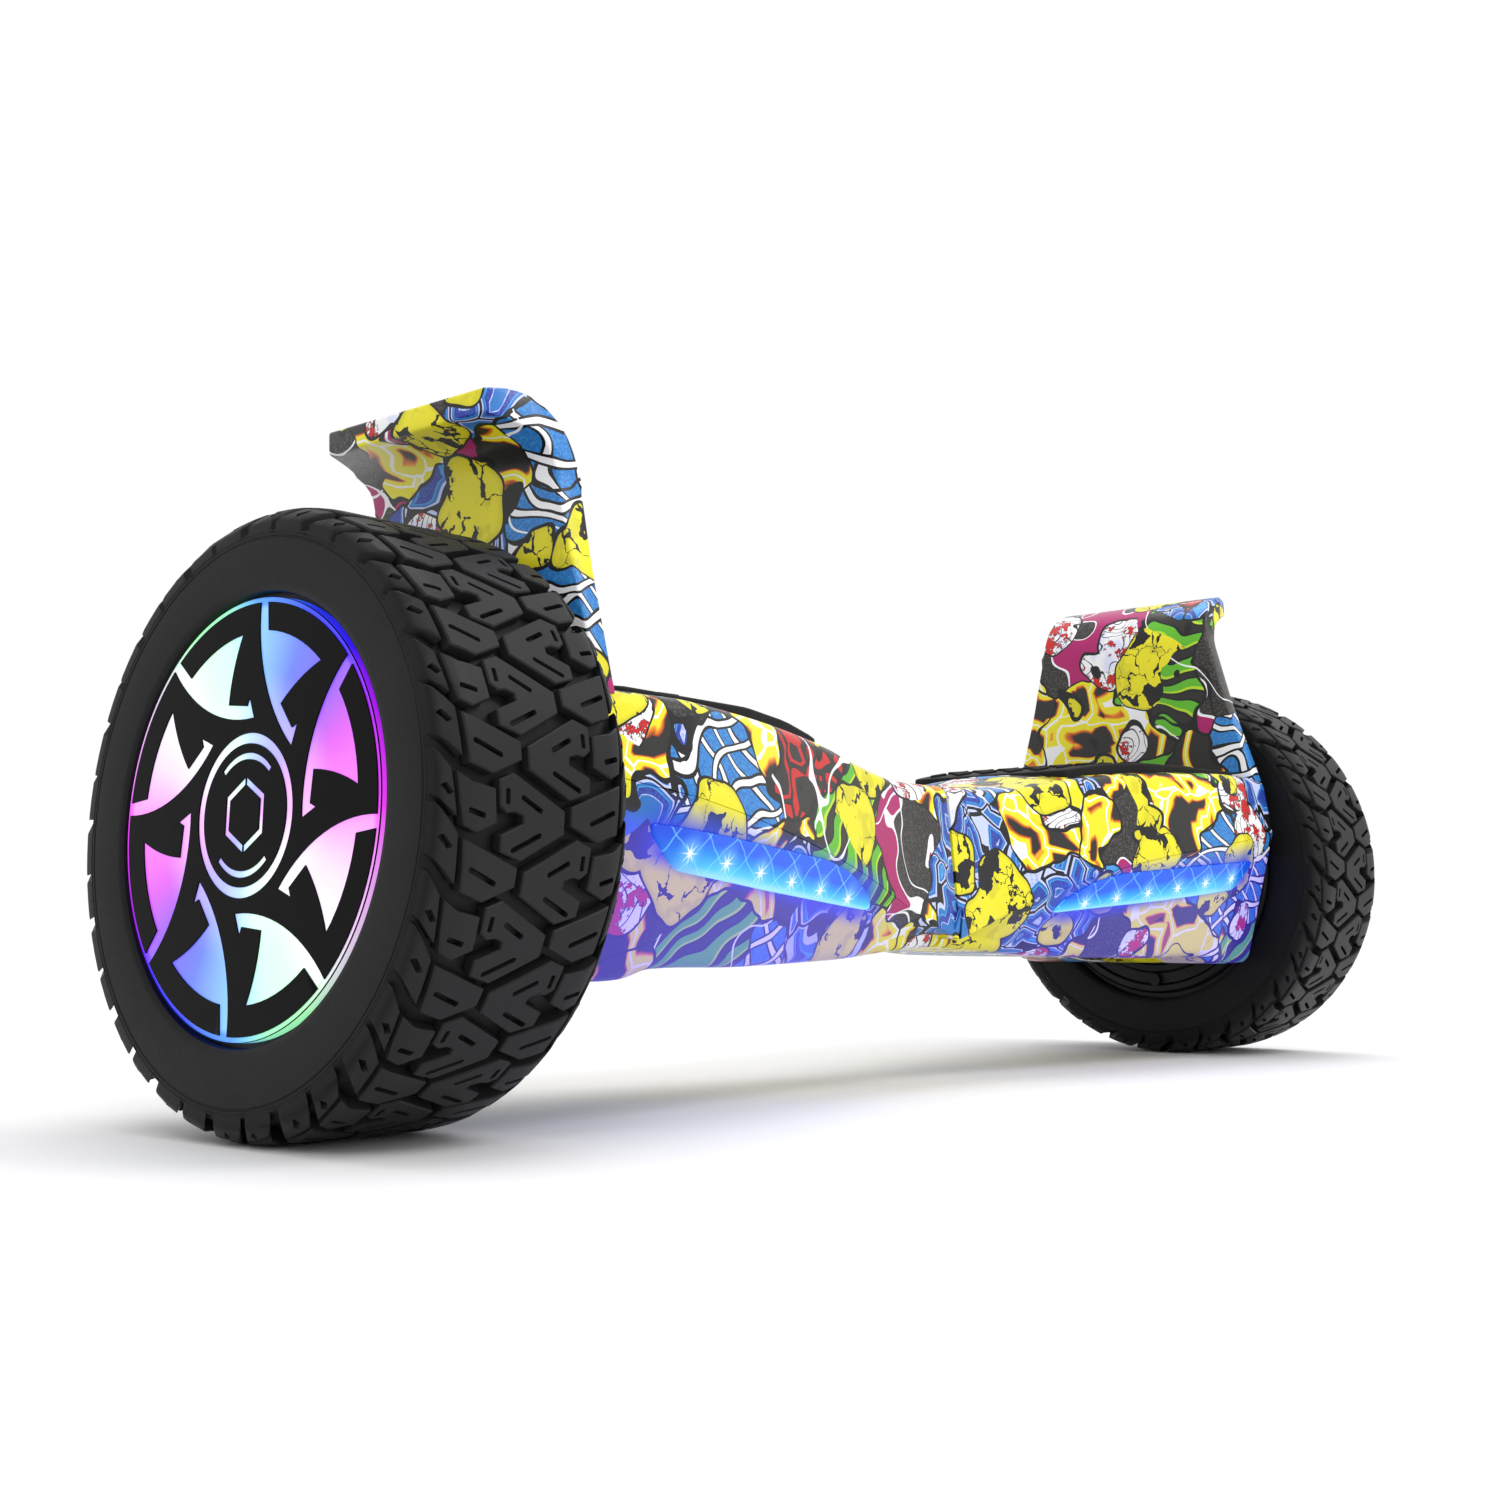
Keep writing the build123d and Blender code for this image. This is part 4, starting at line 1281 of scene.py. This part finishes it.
rightUpper = makeUpperCasing()
leftUpper = copyOf(rightUpper, "leftUpperCasing", mirrorX)
rightLower = makeLowerCasing()
leftLower = addRearFittings(copyOf(rightLower, "leftLowerCasing", mirrorX))
for piece, side, level in ((rightUpper, "right", "upper"), (leftUpper, "left", "upper"),
                           (rightLower, "right", "lower"), (leftLower, "left", "lower")):
    keepOffMiddle(piece, 1 if side == "right" else -1)
    slotName = "printed_shell" if level == "upper" else "printed_lower_shell"
    dress(piece, side + "_half", slotName, finishes[side + "Casing"], [side + "_" + level + "_shell"], 30)
print("casings made")


# lamps
def makeLens():
    obj = flatBlock(lensPoints(0.0), -lamp["thickness"], 0.0, 0)
    vertices = obj.data.vertices
    pick(obj, "EDGE", lambda e: all(vertices[v].co.z > -0.001 for v in e.vertices))
    bpy.ops.mesh.bevel(offset=lamp["edgeRound"], segments=3, affect="EDGES")
    divideMesh(lamp["start"], 7, 24, 0)
    bpy.ops.mesh.select_all(action="SELECT")
    bpy.ops.mesh.quads_convert_to_tris()
    objectMode()
    for vertex in obj.data.vertices:
        x, z, out = vertex.co
        vertex.co = Vector((x, -(frontFacetDepth(x, z) + lamp["proud"] + out), z)) * mm
    obj.name = "rightLens"
    tidyMesh(obj)
    return obj


dressPair(makeLens(), "leftLens", "half", "lamp_lens", finishes["lens"], "light_lens", 30)
print("lamps made")


# fenders
guard = {
    # section: (distance along the board, height)
    "outer": [(253, 154.5), (250.7, 207), (249.9, 227), (250.7, 240), (254.8, 250), (260.9, 257),
              (271.8, 263), (282, 265.2), (292.4, 264.0)],
    "inner": [(262.0, 154.5), (261.4, 183), (262.0, 227), (262.8, 239), (267, 246.5), (276.8, 251.7),
              (291.5, 254.8)],
    # side edges: (height, distance from the middle), drawn in from tipStart outwards
    "edge": [(150, 80.2), (153, 79), (199, 64.4), (234, 55.2), (257, 53.6), (270, 53.4)],
    "tipStart": 271.0,
    "tipTaper": 0.30,
    "foot": 155,
    "footSink": 2.5,
    # the tab that is screwed to the chassis: half width, heights, thickness range
    "tab": (31, 134.5, 166, 262.05, 265.0),
}


def makeFender():
    steps = 30
    outline = [curvePoint(guard["outer"], i / steps) for i in range(steps + 1)]
    outline += [curvePoint(guard["inner"], 1 - i / steps) for i in range(steps + 1)]
    outline = [(x, z - (guard["footSink"] if z < guard["foot"] else 0)) for x, z in outline]
    panel = plate("rightFender", outline, -1, 1, standing)
    for vertex in panel.data.vertices:
        half = onLine(guard["edge"], vertex.co.z / mm)
        half -= guard["tipTaper"] * max(vertex.co.x / mm - guard["tipStart"], 0)
        vertex.co.y = math.copysign(half * mm, vertex.co.y)
    bevelEdges(panel, 1.3, 3, 40)
    half, low, high, near, far = guard["tab"]
    tab = plate("tab", [(-half, low), (half, low), (half, high), (-half, high)], near, far, crossing)
    bevelEdges(tab, 0.6, 2, 40)
    return joined([panel, tab], "rightFender")


rightFender = makeFender()
leftFender = copyOf(rightFender, "leftFender", mirrorX)
for piece, side in ((rightFender, "right"), (leftFender, "left")):
    dress(piece, side + "_half", "printed_fender", finishes[side + "Fender"], [side + "_fender"], 30)
print("fenders made")


# foot mats
matTop = [(mat["start"], 151.6), (130, 156.4), (165, mat["top"]), (mat["end"], mat["top"])]
matBar = {
    "slab": 9,
    "slabRound": 1.2,
    # where the slab is divided to follow the casing: first, spacing, count
    "columns": (104, 7.5, 19),
    "rows": (-70, 10, 15),
    "sunk": 1.5,
    # raised bars over the slab
    "length": 13.0,
    "width": 3.2,
    "height": 1.8,
    "edgeRound": 0.5,
    "spacing": (19.0, 8.2),
    "border": 7.0,
    "inset": (12, 10),
    "reach": 76.0,
}


def matSurface(x):
    return onLine(matTop, max(x, mat["start"]))


def makeMat():
    slab = flatBlock(matOutline(0, mat["start"], mat["end"]), -matBar["slab"], 0, 0)
    vertices = slab.data.vertices
    pick(slab, "EDGE", lambda e: all(vertices[v].co.z > -0.001 for v in e.vertices))
    bpy.ops.mesh.bevel(offset=matBar["slabRound"], segments=3, affect="EDGES")
    divideMesh(*matBar["columns"], 0)
    divideMesh(*matBar["rows"], 1)
    objectMode()
    for vertex in slab.data.vertices:
        x, y, height = vertex.co
        top = matSurface(x) - mat["rib"]
        crown, edge = atStation("crownHeight", x), atStation("topHeight", x)
        skin = crown - (crown - edge) * (y / atStation("topDepth", x)) ** 2
        bottom = min(mat["bottom"], skin - matBar["sunk"])
        z = top + height if height > -4 else bottom
        vertex.co = Vector((x, y, z)) * mm
    tidyMesh(slab)
    long, wide = matBar["length"] / 2, matBar["width"] / 2
    narrow, short = wide * 0.6, long - 1
    barOutline = [(-long, -narrow), (-short, -wide), (short, -wide), (long, -narrow), (long, narrow),
                  (short, wide), (-short, wide), (-long, narrow)]
    bar = flatBlock(barOutline, -matBar["height"], 0, matBar["edgeRound"])
    bars = []
    row = 0
    y = -matBar["reach"]
    while y < matBar["reach"]:
        x = mat["start"] + matBar["inset"][0] + (row % 2) * matBar["spacing"][0] / 2
        while x < mat["end"] - matBar["inset"][1]:
            if abs(y) < straightAt("topDepth", x - long) - mat["margin"] - matBar["border"]:
                twin = copyOf(bar, "bar")
                for vertex in twin.data.vertices:
                    px, py, pz = vertex.co
                    vertex.co = Vector((x + px, y + py, matSurface(x + px) + pz)) * mm
                bars.append(twin)
            x += matBar["spacing"][0]
        y += matBar["spacing"][1]
        row += 1
    bpy.data.objects.remove(bar)
    return joined([slab] + bars, "rightFootMat")


dressPair(makeMat(), "leftFootMat", "mat", "mat_rubber", finishes["mat"], "foot_mat", 40)
print("foot mats made")


# status window on top of the left half
window = {
    "start": -65,
    "end": -45,
    "halfWidth": 5,
    "corner": 2,
    "low": -2.5,
    "high": 0.35,
    "edgeRound": 0.3,
}


def makeStatusWindow():
    start, end, wide, corner = (window[name] for name in ("start", "end", "halfWidth", "corner"))
    near = wide - corner
    outline = [(start, -near), (start + corner, -wide), (end - corner, -wide), (end, -near), (end, near),
               (end - corner, wide), (start + corner, wide), (start, near)]
    obj = flatBlock(outline, window["low"], window["high"], window["edgeRound"])
    editMode()
    divideMesh(start + 4, 4, 4, 0)
    objectMode()
    for vertex in obj.data.vertices:
        x, y, height = vertex.co
        vertex.co = Vector((x, y, atStation("crownHeight", -x) + height)) * mm
    obj.name = "statusWindow"
    tidyMesh(obj)
    return obj


dress(makeStatusWindow(), "left_half", "smoked_window", finishes["smoked"], ["status_window"])


# finishes of the carried parts
carried = {
    "hubLamp": ["hub_light"],
    "chassis": ["frame"],
    "blackMetal": ["rim", "fender_screws", "shell_screws", "cover_screws"],
    "steel": ["axle", "clamp_bolts", "wheel_bearings", "magnets", "pivot_tube", "retaining_ring",
              "charge_port"],
    "aluminium": ["axle_clamp"],
    "core": ["stator"],
    "board": ["led_strip", "sensor_board", "control_board"],
    "cable": ["motor_cable", "harness", "charge_port_cap"],
    "brass": ["pivot_bushes"],
    "wrap": ["battery_pack"],
    "blackMoulding": ["battery_strap", "power_switch"],
    "button": ["power_button"],
}
for finishName, names in carried.items():
    for name in names:
        for node in (name, "left_" + name, "right_" + name):
            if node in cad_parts:
                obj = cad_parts[node]
                obj.data.materials.clear()
                obj.data.materials.append(finishes[finishName])
print("carried parts finished")
